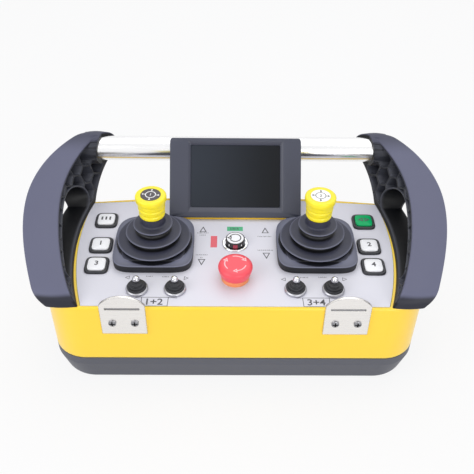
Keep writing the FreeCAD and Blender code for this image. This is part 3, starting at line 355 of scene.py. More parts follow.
def dark_glass(colour, reach):
    """A switched-off screen: nearly black, glossy, with a painted reflection: paler on the left and darker on the
    right, fading across within reach millimetres of the middle."""
    finish = Finish(Specular_IOR_Level=0.22)
    aside = finish.node("SeparateXYZ", {0: finish.place()}, "X")
    tone = finish.mix(finish.ramp(aside, -reach * MM, reach * MM), shade(colour, 2.0), shade(colour, 0.4))
    return finish.done(tone, 0.1 + finish.noise(60, 1.0) * 0.06)


def printed(colour, roughness=0.5):
    """Screen-printed ink: flat colour with the slight unevenness of a thin layer."""
    finish = Finish()
    layer = finish.noise(1.5)
    thin = tuple(v + (1 - v) * 0.06 for v in colour[:3]) + (1.0,)
    return finish.done(finish.mix(layer, colour, thin), roughness + layer * 0.06)


finishes = {
    # The housing's last colour is a painted highlight along its rounded edges.
    "housing_yellow": moulded(srgb(252, 209, 48), 0.34, 0.45, 0.012, 0.03, 2.6, srgb(255, 234, 92), coat=0.3),
    # Edges 1.3 times paler: a painted highlight.
    "base_grey": moulded(srgb(82, 84, 93), 0.5, 0.5, 0.03, 0.08, 0.9, 1.3),
    "seal_rubber": rubber(srgb(28, 28, 30), srgb(44, 44, 48), srgb(44, 44, 48)),
    "panel_foil": moulded(srgb(220, 220, 231), 0.42, 0.25, 0.008, 0.02),
    # One grey plastic, painted: a lit side, a nearly black inside as painted shade, paler rib edges as a painted
    # highlight.
    "handle_plastic": ribbed_shell(srgb(98, 100, 122), srgb(12, 13, 17), srgb(66, 68, 78)),
    "tube_steel": polished(srgb(244, 244, 245), 0.18),
    # Edges at 0.3 of the colour: painted shade round the plates.
    "plate_steel": brushed(srgb(244, 241, 238), (0.04, 1, 1), 0.22, 0.9, 0.3),
    "screw_steel": brushed(srgb(150, 150, 154), (1, 1, 1), 0.25),
    # Edges 1.15 times paler: a painted highlight.
    "display_black": moulded(srgb(62, 65, 80), 0.4, 0.4, 0.02, 0.08, 0.6, 1.15),
    # A painted reflection, paler on the left, darkens the glass towards the right.
    "screen_glass": dark_glass(srgb(30, 34, 41), 45),
    # The last colour is the painted highlight on the lips' edges.
    "bellows_rubber": rubber(srgb(37, 39, 54), srgb(50, 52, 71), srgb(106, 109, 130)),
    "knob_yellow": moulded(srgb(250, 232, 40), 0.3, 0.5, 0.01, 0.03),
    "disc_black": printed(srgb(52, 44, 52), 0.4),
    "disc_white": printed(srgb(248, 248, 246), 0.4),
    "mechanism_steel": brushed(srgb(190, 190, 192), (1, 1, 0.1), 0.3),
    "inner_plastic": moulded(srgb(48, 48, 50), 0.5),
    "estop_red": moulded(srgb(242, 80, 94), 0.34, 0.5, 0.008, 0.04),
    "estop_yellow": moulded(srgb(240, 146, 92), 0.4, 0.4, 0.01, 0.03),
    "key_black": moulded(srgb(34, 34, 37), 0.42, 0.35, 0.015, 0.06),
    "key_chrome": polished(srgb(226, 226, 230), 0.08),
    "bezel_black": moulded(srgb(36, 37, 44), 0.38, 0.4, 0.012, 0.06),
    "cap_white": moulded(srgb(240, 241, 246), 0.28, 0.4, 0.006, 0.02),
    "cap_green": moulded(srgb(8, 176, 104), 0.28, 0.4, 0.006, 0.04, shine=0.15),
    "board_green": moulded(srgb(30, 96, 60), 0.4),
    "battery_black": moulded(srgb(44, 44, 46), 0.5),
    # The last colour would be a painted highlight on marked lips; the boots carry no marks.
    "boot_black": rubber(srgb(24, 25, 30), srgb(34, 35, 42), srgb(64, 66, 76)),
    "lever_steel": polished(srgb(196, 196, 202), 0.08),
    "nut_satin": brushed(srgb(186, 186, 192), (1, 1, 1), 0.3),
    "ink_dark": printed(srgb(58, 58, 66)),
    "ink_black": printed(srgb(30, 28, 34)),
    "ink_red": printed(srgb(224, 92, 106)),
    "ink_red_deep": printed(srgb(168, 34, 66)),
    "ink_green": printed(srgb(70, 178, 128)),
    "ink_pale": printed(srgb(250, 190, 196)),
    "ink_white": printed(srgb(248, 248, 248)),
}
for name, material in finishes.items():
    material.name = name
for part in frame["record"]["subparts"]:
    materials = nodes[part["node"]].data.materials
    materials.clear()
    materials.append(finishes[part["material_slot"]])

# %% [markdown]
# ## Surfaces from grids
# Each new piece is a surface worked out as a grid of points: one direction follows a profile, the other goes
# round it. Turning a profile gives knobs and boots, stacking rounded squares gives buttons and bellows, and a
# flat band along a path gives printed lines. The profile's corners are rounded by short curves, because no
# moulded edge is sharp, and that small radius is what catches the light.

# %% Surfaces from grids
MERGE_WITHIN, SHARP_ABOVE = 0.001, np.radians(38)


def quads(grid, wrap=True, loop=False):
    """Points and four-sided faces of a grid; wrap joins its last column to its first, and loop does so for rows."""
    rows, columns = grid.shape[:2]
    index = np.arange(rows * columns).reshape(rows, columns)
    if wrap:
        index = np.concatenate([index, index[:, :1]], axis=1)
    if loop:
        index = np.concatenate([index, index[:1]], axis=0)
    faces = np.stack([index[:-1, :-1], index[:-1, 1:], index[1:, 1:], index[1:, :-1]], axis=-1)
    return grid.reshape(-1, 3), faces.reshape(-1, 4)


def unit(vectors):
    """The vectors at a length of 1."""
    return vectors / np.linalg.norm(vectors, axis=-1, keepdims=True)


def curve(start, pull, end, steps=60):
    """The curve (1-s)^2 start + 2s(1-s) pull + s^2 end."""
    s = np.linspace(0, 1, steps)[:, None]
    return (1 - s) ** 2 * np.array(start) + 2 * s * (1 - s) * np.array(pull) + s ** 2 * np.array(end)


def softened(corners, steps=6):
    """A profile of (across, height, rounding) corners. Each is rounded by a curve that it pulls, and whose ends lie
    the rounding away from it, or half way to the next corner."""
    corners = np.array(corners, float)
    line = [corners[:1, :2]]
    for before, here, after in zip(corners[:-2, :2], corners[1:-1], corners[2:, :2]):
        corner, rounding = here[:2], here[2]
        start, end = [corner + side * min(rounding / np.linalg.norm(side), 0.5)
                      for side in (before - corner, after - corner)]
        line.append(curve(start, corner, end, steps) if rounding else corner[None])
    line.append(corners[-1:, :2])
    return np.concatenate(line)


def stacked(profile, centre, power=2.0, count=96, rear_power=None):
    """Sections |x|^n + |y|^n = across^n, stacked at the heights of a profile of (across, height) points.
    A power n of 2 gives circles, a larger one gives rounded squares; it may differ from row to row, and the
    half behind the centre may have its own."""
    across, height = np.array(profile, float)[:, :2].T
    turn = np.linspace(0, 2 * np.pi, count, endpoint=False)[None]
    rear = power if rear_power is None else rear_power
    n = np.where(np.sin(turn) > 0, np.broadcast_to(rear, across.shape)[:, None],
                 np.broadcast_to(power, across.shape)[:, None])
    reach = across[:, None] / (np.abs(np.cos(turn)) ** n + np.abs(np.sin(turn)) ** n) ** (1 / n)
    tall = np.repeat(height[:, None], count, axis=1)
    return quads(np.stack([reach * np.cos(turn), reach * np.sin(turn), tall], axis=-1) + np.array(centre))


def turned(corners, centre, count=96):
    """A profile of (across, height, rounding) corners, turned round the centre."""
    return stacked(softened(corners), centre, 2.0, count)


def piece(name, parts, body, slot, node=None, finish=None, outward=True):
    """An object made of (points, faces) parts in millimetres. It rides on a body, or on none, and may replace a
    solid. Its finish is the slot's own where no other is named. Points that coincide, such as a pole, are merged,
    and closed surfaces face outwards."""
    starts = np.cumsum([0] + [len(points) for points, faces in parts[:-1]])
    joined = [face for start, (points, faces) in zip(starts, parts) for face in (faces + start).tolist()]
    mesh = bpy.data.meshes.new(name)
    mesh.from_pydata((np.concatenate([points for points, faces in parts]) * MM).tolist(), [], joined)
    work = bmesh.new()
    work.from_mesh(mesh)
    bmesh.ops.remove_doubles(work, verts=work.verts, dist=MERGE_WITHIN * MM)
    if outward:
        bmesh.ops.recalc_face_normals(work, faces=work.faces)
    work.to_mesh(mesh)
    work.free()
    mesh.shade_smooth()
    mesh.set_sharp_from_angle(angle=SHARP_ABOVE)
    mesh.materials.append(finishes[finish or slot])
    made = shown(name, mesh)
    if body:
        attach(made, body)
    if node:
        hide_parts(node)
    return made


def mark(made, **layers):
    """Values from 0 to 1 at the points of a piece, which its finish can read by name."""
    for name, values in layers.items():
        layer = made.data.attributes.new(name, "FLOAT", "POINT")
        layer.data.foreach_set("value", np.ravel(values).astype(np.float32))


def places(made):
    """The points of a piece in millimetres."""
    flat = np.empty(3 * len(made.data.vertices))
    made.data.vertices.foreach_get("co", flat)
    return flat.reshape(-1, 3) / MM


def above(centre, height):
    """The point over a centre at a height in millimetres, in metres."""
    return tuple((centre + (0, 0, height)) * MM)


print("surface helpers ready")

# %% [markdown]
# ## Handles
# Each handle is one plastic moulding: a smooth band that climbs from a foot at the front to the cross tube, with a
# grip under it and a honeycomb of ribs on the inside. Seen from the side it is a ring: the band's outline outside
# and the grip's outline inside. So it is worked out like the skin of a bent tube that closes on itself. One
# direction goes round the ring, the other runs over the ribbed inner face, across the band, back over the outer
# face and through the grip. The ribs are a relief: between them, the inner face drops to the outer skin.

# %% Handle outlines
HANDLE_FRONT, TUBE_Y, TUBE_RISE, SOCKET = -90.5, 80.3, 39.5, 15.0
HANDLE_HEIGHT = TUBE_RISE + SOCKET
COLUMNS = {"foot": 46, "band": 200, "rear": 130, "floor": 84}


def resampled(points, count):
    """Points spread evenly along a path; the last one is left to the next path."""
    points = np.array(points, float)
    length = np.concatenate([[0], np.cumsum(np.linalg.norm(np.diff(points, axis=0), axis=1))])
    at = np.linspace(0, length[-1], count, endpoint=False)
    return np.stack([np.interp(at, length, column) for column in points.T], axis=-1)


def round_ring(*paths):
    """The paths of the foot, band, rear and floor, each with its own number of points."""
    return np.concatenate([resampled(path, count) for path, count in zip(paths, COLUMNS.values())])


def oval(centre, half_y, half_z, first, last, steps=90):
    """Points of an ellipse between two angles in degrees."""
    turn = np.radians(np.linspace(first, last, steps))
    return np.stack([centre[0] + half_y * np.cos(turn), centre[1] + half_z * np.sin(turn)], axis=-1)


foot, crease, heel = np.array([(HANDLE_FRONT, 0), (HANDLE_FRONT + 2, 10.3), (47.3, 0)])
tube = np.array([TUBE_Y, TUBE_RISE])
round_tube = oval(tube, SOCKET, SOCKET, 100, -45)
crown = (crease + round_tube[0]) / 2 + (0, 2.0)
bend_start, bend_end = crease + unit(foot - crease) * 7.0, crease + unit(crown - crease) * 10.0
pull = 2 * crown - (bend_end + round_tube[0]) / 2
outer_line = round_ring(
    np.concatenate([[foot], curve(bend_start, crease, bend_end)]), curve(bend_end, pull, round_tube[0]),
    np.concatenate([round_tube, [heel]]), [heel, foot])

SILL, GRIP_FRONT, GRIP_REAR, ARCH_FOOT = 5.0, -59.5, 8.0, 33.0
slope = (round_tube[0, 1] - crease[1]) / (round_tube[0, 0] - crease[0])
front_top, rear_top = [crease[1] + slope * (y - crease[0]) - 6.0 for y in (GRIP_FRONT, GRIP_REAR)]
front_half = (front_top - SILL) / 2


def grip_outline(under_band, over_arch, arch, under_arch):
    """The grip's outline: a round front end, the line under the band, the arch at the rear and the sill."""
    rear = np.concatenate([curve(under_band[-1], over_arch, arch), curve(arch, under_arch, (ARCH_FOOT, SILL))])
    return round_ring(oval((GRIP_FRONT, SILL + front_half), 2.5, front_half, -90, -270),
                      [(GRIP_FRONT, front_top)] + under_band, rear, [(ARCH_FOOT, SILL), (GRIP_FRONT, SILL)])


grip_line = grip_outline([(GRIP_REAR, rear_top)], (30.0, 35.5), (41.0, 20.0), (45.0, 9.0))
far_grip_line = grip_outline([(-5.0, 26.0), (GRIP_REAR, 26.4)], (37.0, 29.5), (35.5, 20.0), (36.0, 8.0))
print("handle outline:", len(outer_line), "points, grip", round(float(np.ptp(grip_line[:, 1])), 1), "mm tall")

# %% Handle surfaces
SKIN, LINING, RIB_PITCH, RIB_WALL, EDGE = 2.0, 1.6, 16.0, 1.7, 1.3
SOCKET_START, SOCKET_END, SOCKET_FROM_Y, REAR_FULLNESS = 126.5, 143.0, 70, 0.5
INNER_ROWS, OUTER_ROWS, SIDE_ROWS, BAND_ARCH = 118, 30, 16, 0.9
INNER_LOW = (125.5, -91.5), (139.5, -10), (114, 96.3)
INNER_HIGH = (151.5, -91.5), (160.5, -10), (114, 96.3)
OUTER_LOW = (152.5, -91.5), (157.5, 4), (116.5, 96.3)
OUTER_HIGH = (199.0, -91.5), (203.0, -50), (116.5, 96.3)


def bowed(y, front, widest, rear, fuller=0.0):
    """x of two arcs that leave the widest point along Y: x = widest -/+ (R - sqrt(R^2 - d^2)), d = y - y_widest.
    The rear one may be fuller: a share of a quarter ellipse is mixed in."""
    d = y - widest[1]
    across = np.where(d < 0, front[0], rear[0]) - widest[0]
    along = np.where(d < 0, front[1], rear[1]) - widest[1]
    radius = (across ** 2 + along ** 2) / (2 * np.abs(across))
    arc = np.sign(across) * (radius - np.sqrt(np.maximum(radius ** 2 - d ** 2, 0)))
    ellipse = across * (1 - np.sqrt(np.maximum(1 - (d / along) ** 2, 0)))
    return widest[0] + arc + (ellipse - arc) * fuller * (d > 0)


def leaning(flat, low, high, fuller=0.0):
    """Distance of a face from the middle: it leans outwards between a low and a high bow."""
    y, z = flat[..., 0], flat[..., 1]
    low, high = bowed(y, *low), bowed(y, *high, fuller)
    return low + (high - low) * z / HANDLE_HEIGHT


def outer_face(flat):
    """Distance of the outer face from the middle; behind, it covers the tube's end."""
    cover = np.where(flat[..., 0] > SOCKET_FROM_Y, SOCKET_END, 0)
    return np.maximum(leaning(flat, OUTER_LOW, OUTER_HIGH, REAR_FULLNESS), cover)


def away_from(line, points):
    """Distance of points from a closed line."""
    best = np.full(points.shape[:-1], np.inf)
    for a, b in zip(line, np.roll(line, -1, axis=0) - line):
        share = np.clip(((points - a) @ b) / (b @ b), 0, 1)
        best = np.minimum(best, np.linalg.norm(points - a - share[..., None] * b, axis=-1))
    return best


def inside_cell(points):
    """How far a point lies inside its honeycomb cell: half the pitch less the reach along three directions."""
    period = np.array([RIB_PITCH, RIB_PITCH * np.sqrt(3)])
    best = np.full(points.shape[:-1], -np.inf)
    for shift in (0, 0.5):
        local = (points - (HANDLE_FRONT, 0) - shift * period + period / 2) % period - period / 2
        reach = [np.abs(local @ np.array([np.cos(t), np.sin(t)])) for t in np.radians((0, 60, 120))]
        best = np.maximum(best, RIB_PITCH / 2 - np.max(reach, axis=0))
    return best - RIB_WALL / 2


def smooth_step(value, low, high):
    """3s^2 - 2s^3 as the value goes from low to high."""
    s = np.clip((value - low) / (high - low), 0, 1)
    return s * s * (3 - 2 * s)


def rolled(distance):
    """How far a face falls back next to an edge: EDGE - sqrt(EDGE^2 - (EDGE - d)^2)."""
    return EDGE - np.sqrt(np.maximum(EDGE ** 2 - np.clip(EDGE - distance, 0, EDGE) ** 2, 0))


def across_ring(rows, grip):
    """Points between the grip's outline and the band's, close together at both."""
    s = (0.5 - 0.5 * np.cos(np.pi * np.linspace(0, 1, rows)))[:, None, None]
    return grip * (1 - s) + outer_line * s


def with_x(x, flat):
    """Points (x, y, z) of distances x and flat points (y, z)."""
    return np.concatenate([x[..., None], flat], axis=-1)


flat = across_ring(INNER_ROWS, grip_line)
to_band, to_grip = away_from(outer_line, flat), away_from(grip_line, flat)
to_tube = np.linalg.norm(flat - tube, axis=-1) - SOCKET
pocket = np.minimum.reduce([to_band - SKIN, to_grip - LINING, inside_cell(flat), to_tube, flat[..., 1] - SILL])
deep = smooth_step(pocket, 0.0, 1.0)
top_x, back_x = leaning(flat, INNER_LOW, INNER_HIGH), outer_face(flat)
socket_x = SOCKET_START + 0.25 * np.maximum(TUBE_Y - flat[..., 0], 0)
rim_x = np.where(to_tube < 0, np.minimum(top_x, socket_x), top_x)
inner_x = rim_x + (back_x - SKIN - rim_x) * deep + rolled(np.minimum(to_band, to_grip)) * (1 - deep)
inner_sheet = with_x(inner_x, flat)
# Painted highlight along the rib tops and along the grip's edge.
rib_highlight = np.exp(-((pocket - 0.1) / 0.55) ** 2) + np.exp(-((to_grip - 0.7) / 0.6) ** 2)

outer_flat = across_ring(OUTER_ROWS, far_grip_line)[::-1]
to_edge = np.minimum(away_from(outer_line, outer_flat), away_from(far_grip_line, outer_flat))
outer_sheet = with_x(outer_face(outer_flat) - rolled(to_edge), outer_flat)

ahead = unit(np.roll(outer_line, -1, axis=0) - np.roll(outer_line, 1, axis=0))
share = np.linspace(0, 1, SIDE_ROWS + 2)[1:-1, None]
upright = np.stack([-ahead[:, 1], ahead[:, 0]], axis=-1)
arched = outer_line + upright * BAND_ARCH * np.sin(np.pi * share)[..., None]
band_x = inner_sheet[-1:, :, 0] * (1 - share) + outer_sheet[:1, :, 0] * share
band_sheet = with_x(band_x, arched)
grip_x = outer_sheet[-1:, :, 0] * (1 - share) + inner_sheet[:1, :, 0] * share
grip_sheet = with_x(grip_x, far_grip_line * (1 - share)[..., None] + grip_line * share[..., None])

handle_grid = np.concatenate([inner_sheet, band_sheet, outer_sheet, grip_sheet]) + (0, 0, PANEL_TOP)
# Painted light on the lit side: darker below the crease, where the foot turns down, and darker towards the tube. The
# grip gets none and keeps the inside's painted shade.
band_painted_light = (0.15 + 0.85 * smooth_step(arched[..., 1], crease[1] - 2.5, crease[1] + 0.5)
             - 0.5 * smooth_step(arched[..., 0], 55, 80))
no_band, no_outer, no_grip = [np.zeros(sheet.shape[:2]) for sheet in (band_sheet, outer_sheet, grip_sheet)]
outside = [smooth_step(to_band, 1.6, 0.4) * (flat[..., 1] > SILL) * band_painted_light[:1], band_painted_light,
           no_outer + band_painted_light[-1:], no_grip]
pale = [np.clip(rib_highlight, 0, 1), no_band, no_outer, no_grip]
for side, sign in SIDES.items():
    handle = piece(side + "_handle_moulding", [quads(handle_grid * (sign, 1, 1), loop=True)], "housing",
                   "handle_plastic", side + "_handle")
    mark(handle, outside=np.concatenate(outside), pale_edge=np.concatenate(pale))
print("handles:", handle_grid.shape[0] * handle_grid.shape[1], "points each")

# %% [markdown]
# ## Joystick bellows
# On the real remote a bellows is one rubber moulding: a square flange is clamped to the panel, and round steps
# with thin overhanging lips lead up to the stick, so that it can lean every way. Here its profile is stacked
# as sections that change from square to round above the flange. The stick tilts on two pins, and the rubber is
# made in two halves, one below and one above a height half way up.

# %% Joystick bellows
FLANGE_TOP, HALF_WAY, NECK_BASE = 7.2, 15.6, 29.0
LOWER_PROFILE = [(20, 0, 0), (34.3, 0, 0.3), (34.6, 6.6, 0.5), (33.7, 7.1, 0.4), (27.2, 6.9, 0.6),
                 (26.6, 7.8, 0.6), (27.4, 9.6, 0.6), (31.1, 10.6, 0.3), (31.8, 11.1, 0.3), (31.6, 11.8, 0.35),
                 (20.2, 13.5, 0.8), (19.3, 14.6, 0.6), (19.5, HALF_WAY, 0)]
UPPER_PROFILE = [(19.5, HALF_WAY, 0), (19.9, 16.6, 0.6), (23.2, 17.7, 0.3), (23.9, 18.2, 0.3), (23.7, 18.9, 0.35),
                 (13.8, 20.3, 0.6), (12.9, 21.2, 0.4), (12.6, 22.4, 0.6), (13.1, 24.6, 0.6), (16.1, 25.9, 0.3),
                 (16.8, 26.4, 0.3), (16.6, 27.1, 0.35), (11.0, 28.2, 0.8), (10.4, NECK_BASE, 0.5), (10.2, 35.4, 0.4),
                 (4.3, 35.7, 0)]
LIPS = np.array([(31.6, 11.4), (23.7, 18.5), (16.6, 26.7)])
TURNING_ROUND, FRONT_POWER, REAR_POWER, ROUND = (7.1, 8.2), 5.6, 3.8, 2.0
# Where the flange's painted highlight and painted shade lie: reach and height in millimetres.
FLANGE_FROM, RIM_FROM, RIM_HEIGHT, WALL_BELOW = 29, 33, 6.9, 6.4


def dense(profile, step=0.5):
    """The profile with points no more than about a step apart."""
    ends = list(zip(profile[:-1], profile[1:]))
    counts = [max(1, int(np.linalg.norm(b - a) / step)) for a, b in ends]
    lines = [a + (b - a) * np.linspace(0, 1, n, endpoint=False)[:, None] for (a, b), n in zip(ends, counts)]
    return np.concatenate(lines + [profile[-1:]])


def highlight_on_lips(reach, height):
    """The painted highlight on the lips of the profile, as the largest of exp(-(dr/0.9)^2 - (dz/0.6)^2)."""
    return np.exp(-np.min([((reach - r) / 0.9) ** 2 + ((height - z) / 0.6) ** 2 for r, z in LIPS], axis=0))


def shade_under_lips(reach, height):
    """Painted shade within and below a lip, down to the step under it."""
    return np.max([smooth_step(r - reach, 0.1, 1.3) * smooth_step(z - height, 0.4, 0.9) * (height > z - 7.2)
                   for r, z in LIPS], axis=0)


for side in SIDES:
    node, ring, stick = side + "_bellows", side + "_tilt_ring", side + "_stick"
    centre = on_panel(node)
    for half, corners, still, moving, low, high in (
            ("_lower", LOWER_PROFILE, "housing", ring, FLANGE_TOP, HALF_WAY),
            ("_upper", UPPER_PROFILE, ring, stick, HALF_WAY, NECK_BASE)):
        profile = dense(softened(corners))
        power, rear_power = [np.interp(profile[:, 1], TURNING_ROUND, (square, ROUND))
                             for square in (FRONT_POWER, REAR_POWER)]
        boot = piece(node + half, [stacked(profile, centre, power, 144, rear_power)], None, "bellows_rubber", node)
        local = places(boot) - centre
        reach, height = np.hypot(local[:, 0], local[:, 1]), local[:, 2]
        # Painted highlights on the lips' edges and the flange's rim, and painted shade on the flange's top and wall
        # and under each lip, where the rubber lies in shadow.
        on_flange = (height < FLANGE_TOP - 0.05) & (reach > FLANGE_FROM)
        rim_highlight = np.exp(-((height - RIM_HEIGHT) / 0.3) ** 2)
        pale = np.where(on_flange & (reach > RIM_FROM), rim_highlight, highlight_on_lips(reach, height))
        hollow = np.where(on_flange, np.where(height < WALL_BELOW, 0.92, 0.85), shade_under_lips(reach, height))
        mark(boot, pale_edge=pale, hollow=hollow)
        above(centre, low)
        above(centre, high)
        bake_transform(boot)
print("bellows:", len(SIDES) * 2, "halves")

# %% [markdown]
# ## Knobs
# A knob is turned plastic: a wide head to pull on, a groove, and a lower part that narrows towards the shaft.
# The discs in their tops stay as they come from CAD; their marks are thin prints that are added further down.

# %% Knobs
KNOB_PROFILE = [(4, 36, 0), (10.2, 36, 0.4), (10.9, 36.8, 0.5), (11.2, 39.2, 0.5), (10.6, 40.2, 0.5),
                (11.0, 41.2, 0.5), (11.5, 44.6, 0.6), (10.8, 45.7, 0.5), (11.6, 46.8, 0.6), (11.9, 50.8, 0.5),
                (12.8, 51.5, 0.4), (13.1, 53.0, 0.8), (13.1, 57.0, 2.0), (8.5, 57.0, 0.25), (8.4, 55.8, 0),
                (0, 55.8, 0)]

for side in SIDES:
    node = side + "_knob"
    piece(node + "_turned", [turned(KNOB_PROFILE, on_panel(node))], side + "_stick", "knob_yellow", node)
print("knobs:", len(SIDES))

# %% [markdown]
# ## Push buttons
# Each button is a soft square cap in a black frame with rounded edges. A cap is pillow-shaped: its sections
# become rounder and smaller towards the top, and the last one shrinks to a point that closes the surface.

# %% Push buttons
FRAME_PROFILE = [(7.9, 0.3, 0), (7.9, 1.8, 0.3), (8.6, 2.2, 0.5), (9.5, 2.2, 0.6), (10.3, 1.4, 0.6), (10.3, 0, 0)]
CAP_PROFILE = [(7.7, 1.7, 0), (7.7, 2.7, 0.6), (7.1, 3.1, 0.5), (4.6, 3.5, 1.0), (2.0, 3.68, 0.8), (0, 3.7, 0)]
ROWS, FRAME_POWER = ("rear", "middle", "front"), 4.6

frames = []
for side in SIDES:
    for row in ROWS:
        button, node = "%s_%s_button" % (side, row), "button_cap_%s_%s" % (side, row)
        centre = on_panel(node)
        frames.append(stacked(softened(FRAME_PROFILE), centre, FRAME_POWER, 80))
        profile = softened(CAP_PROFILE)
        cap = stacked(profile, centre, np.interp(profile[:, 0], (2, 7), (2.6, 4.8)), 80)
        colour = "cap_green" if button == "right_rear_button" else "cap_white"
        piece(button + "_pillow", [cap], button, colour, node)
piece("button_frames", frames, "housing", "bezel_black", "button_bezels")
print("buttons:", len(frames))

# %% [markdown]
# ## Toggle switches
# A toggle switch has a bright round nut, a ribbed rubber boot that keeps water out, and a lever with a ball
# end. On the real switch the boot's foot stays on the nut and its top follows the lever; here it rides on no body.

# %% Toggle switches
NUT_PROFILE = [(6.3, 0, 0), (9.2, 0, 0.2), (9.3, 2.0, 0.3), (8.8, 2.6, 0.3), (8.4, 2.9, 0.3), (6.3, 2.9, 0)]
BOOT_PROFILE = [(6.4, 2.9, 0), (8.0, 2.9, 0.3), (8.2, 4.0, 0.5), (7.6, 4.6, 0.4), (6.3, 4.5, 0.3), (6.1, 5.0, 0.2),
                (6.6, 5.4, 0.3), (6.5, 6.2, 0.4), (4.9, 6.3, 0.3), (4.6, 6.8, 0.2), (5.0, 7.2, 0.3), (4.9, 8.0, 0.4),
                (3.6, 8.2, 0.3), (3.3, 9.2, 0.3), (2.0, 9.4, 0)]
LEVER_PROFILE = [(0, 3.0, 0), (1.9, 3.0, 0), (1.9, 8.9, 0.3), (2.4, 9.5, 0.4), (3.2, 11.4, 1.7), (2.6, 13.6, 1.3),
                 (1.2, 14.3, 0.7), (0, 14.3, 0)]
TOGGLES = ("left_outer", "left_inner", "right_inner", "right_outer")

nuts = []
for label in TOGGLES:
    lever = label + "_toggle"
    centre = on_panel("toggle_boot_" + label)
    nuts.append(turned(NUT_PROFILE, centre, 64))
    piece(lever + "_chrome", [turned(LEVER_PROFILE, centre, 48)], lever, "key_chrome", "toggle_lever_" + label,
          "lever_steel")
    boot = piece(lever + "_boot", [turned(BOOT_PROFILE, centre, 64)], None, "bellows_rubber", "toggle_boot_" + label,
                 "boot_black")
    above(centre, 3.0)
    above(centre, 9.0)
    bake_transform(boot)
piece("toggle_nut_rings", nuts, "housing", "key_chrome", "toggle_nuts", "nut_satin")
print("toggles:", len(nuts))

# %% [markdown]
# ## Emergency stop and start key
# The stop button is a red cup that widens upwards over a pale collar, with a soft edge round its flat top. The
# start key is a black ribbed grip with a white cap in it; the ribs are a small wave added to the radius of
# the grip's wall, strongest half way up and fading to nothing at its ends.

# %% Emergency stop and start key
STOP_PROFILE = [(0, 12.3, 0), (12.0, 12.3, 0.3), (12.0, 5.2, 0.2), (12.7, 5.2, 0.3), (14.5, 11.9, 1.0),
                (14.2, 14.4, 1.4), (11.4, 16.3, 1.6), (6.0, 16.3, 0.6), (0, 16.2, 0)]
COLLAR_PROFILE = [(8.3, 0, 0), (11.8, 0, 0.2), (11.8, 2.6, 0.4), (11.2, 3.2, 0.3), (11.2, 9.0, 0.4), (8.3, 9.0, 0)]
GRIP_PROFILE = [(5.8, 1.9, 0), (8.7, 1.9, 0.3), (8.6, 6.0, 0.5), (8.1, 6.6, 0.3), (7.6, 6.6, 0.2), (7.5, 6.2, 0),
                (0, 6.2, 0)]
CAP_TOP_PROFILE = [(7.5, 6.0, 0), (7.5, 6.7, 0.25), (6.9, 6.8, 0.2), (0, 6.8, 0)]
RING_PROFILE = [(6.3, 0, 0), (11.6, 0, 0.2), (11.7, 1.0, 0.3), (11.0, 1.6, 0.3), (9.6, 1.6, 0.2), (9.4, 1.2, 0.2),
                (6.3, 1.2, 0)]
RIBS, RIB_DEPTH = 30, 0.28

stop_centre, key_centre = on_panel("estop_head"), on_panel("start_key_knob")
piece("estop_cup", [turned(STOP_PROFILE, stop_centre)], "estop_mushroom", "estop_red", "estop_head")
piece("estop_collar_turned", [turned(COLLAR_PROFILE, stop_centre)], "housing", "estop_yellow", "estop_collar")

points, faces = turned(GRIP_PROFILE, key_centre, 12 * RIBS)
around = points - key_centre
reach = np.hypot(around[:, 0], around[:, 1])
wall = np.clip(1 - np.abs(around[:, 2] - 4.1) / 2.0, 0, 1) ** 0.4 * (reach > 8.3)
wave = wall * RIB_DEPTH * (np.cos(RIBS * np.arctan2(around[:, 1], around[:, 0])) - 1) / 2
points[:, :2] = key_centre[:2] + around[:, :2] * (1 + wave / np.maximum(reach, 1))[:, None]
piece("start_key_grip", [(points, faces)], "start_key", "key_black", "start_key_knob")
piece("start_key_cap", [turned(CAP_TOP_PROFILE, key_centre, 72)], "start_key", "cap_white")
piece("start_key_ring", [turned(RING_PROFILE, key_centre)], "housing", "key_chrome", "start_key_collar")
print("stop button and key ready")

# %% [markdown]
# ## Display frame
# The display is a flat box that leans back to face the user. Its frame is one moulding: a rounded outer edge, a
# flat border, and a bevel that leads down to the glass. The frame is worked out in the display's own plane,
# as rounded rectangles one inside the other, and then turned into place. A rectangle of no size closes it.

# %% Display frame
DISPLAY_LEAN = np.radians(40.5)
DISPLAY_HEIGHT, CORNER_STEPS = 70.0, 7
# The rings at -3.3 to -2.6 carry the frame's lower edge below the display's foot, over the yellow pedestal's front:
# a dark skirt that stands in for the shade under the display.
FRAME_RINGS = [(0, 35, 35, 0, -6), (60.0, 0.5, 69.7, 2.6, -6), (60.5, -0.6, 70.2, 3, -5.0),
               (60.5, -3.3, 70.2, 3, -1.0), (60.3, -3.1, 70.0, 2.8, -0.4), (59.8, -2.6, 69.5, 2.4, 0),
               (44.2, 1.4, 67.8, 1.3, 0), (43.8, 1.8, 67.4, 1.1, -0.15), (41.5, 6.0, 64.0, 0.9, -1.75),
               (41.2, 6.3, 63.7, 0.8, -2.1), (41.1, 6.4, 63.6, 0.7, -3.9), (0, 35, 35, 0, -3.9)]
bezel_low, bezel_high = span("display_bezel")
display_up = np.array([0, np.sin(DISPLAY_LEAN), np.cos(DISPLAY_LEAN)])
display_out = np.array([0, -np.cos(DISPLAY_LEAN), np.sin(DISPLAY_LEAN)])
display_foot = np.array([0, bezel_low[1], bezel_high[2] - DISPLAY_HEIGHT * display_up[2]])


def on_display(flat):
    """Points (x, y, z) of the display's plane, x across, y up and z outwards, moved to their place."""
    return display_foot + flat[..., :1] * (1, 0, 0) + flat[..., 1:2] * display_up + flat[..., 2:] * display_out


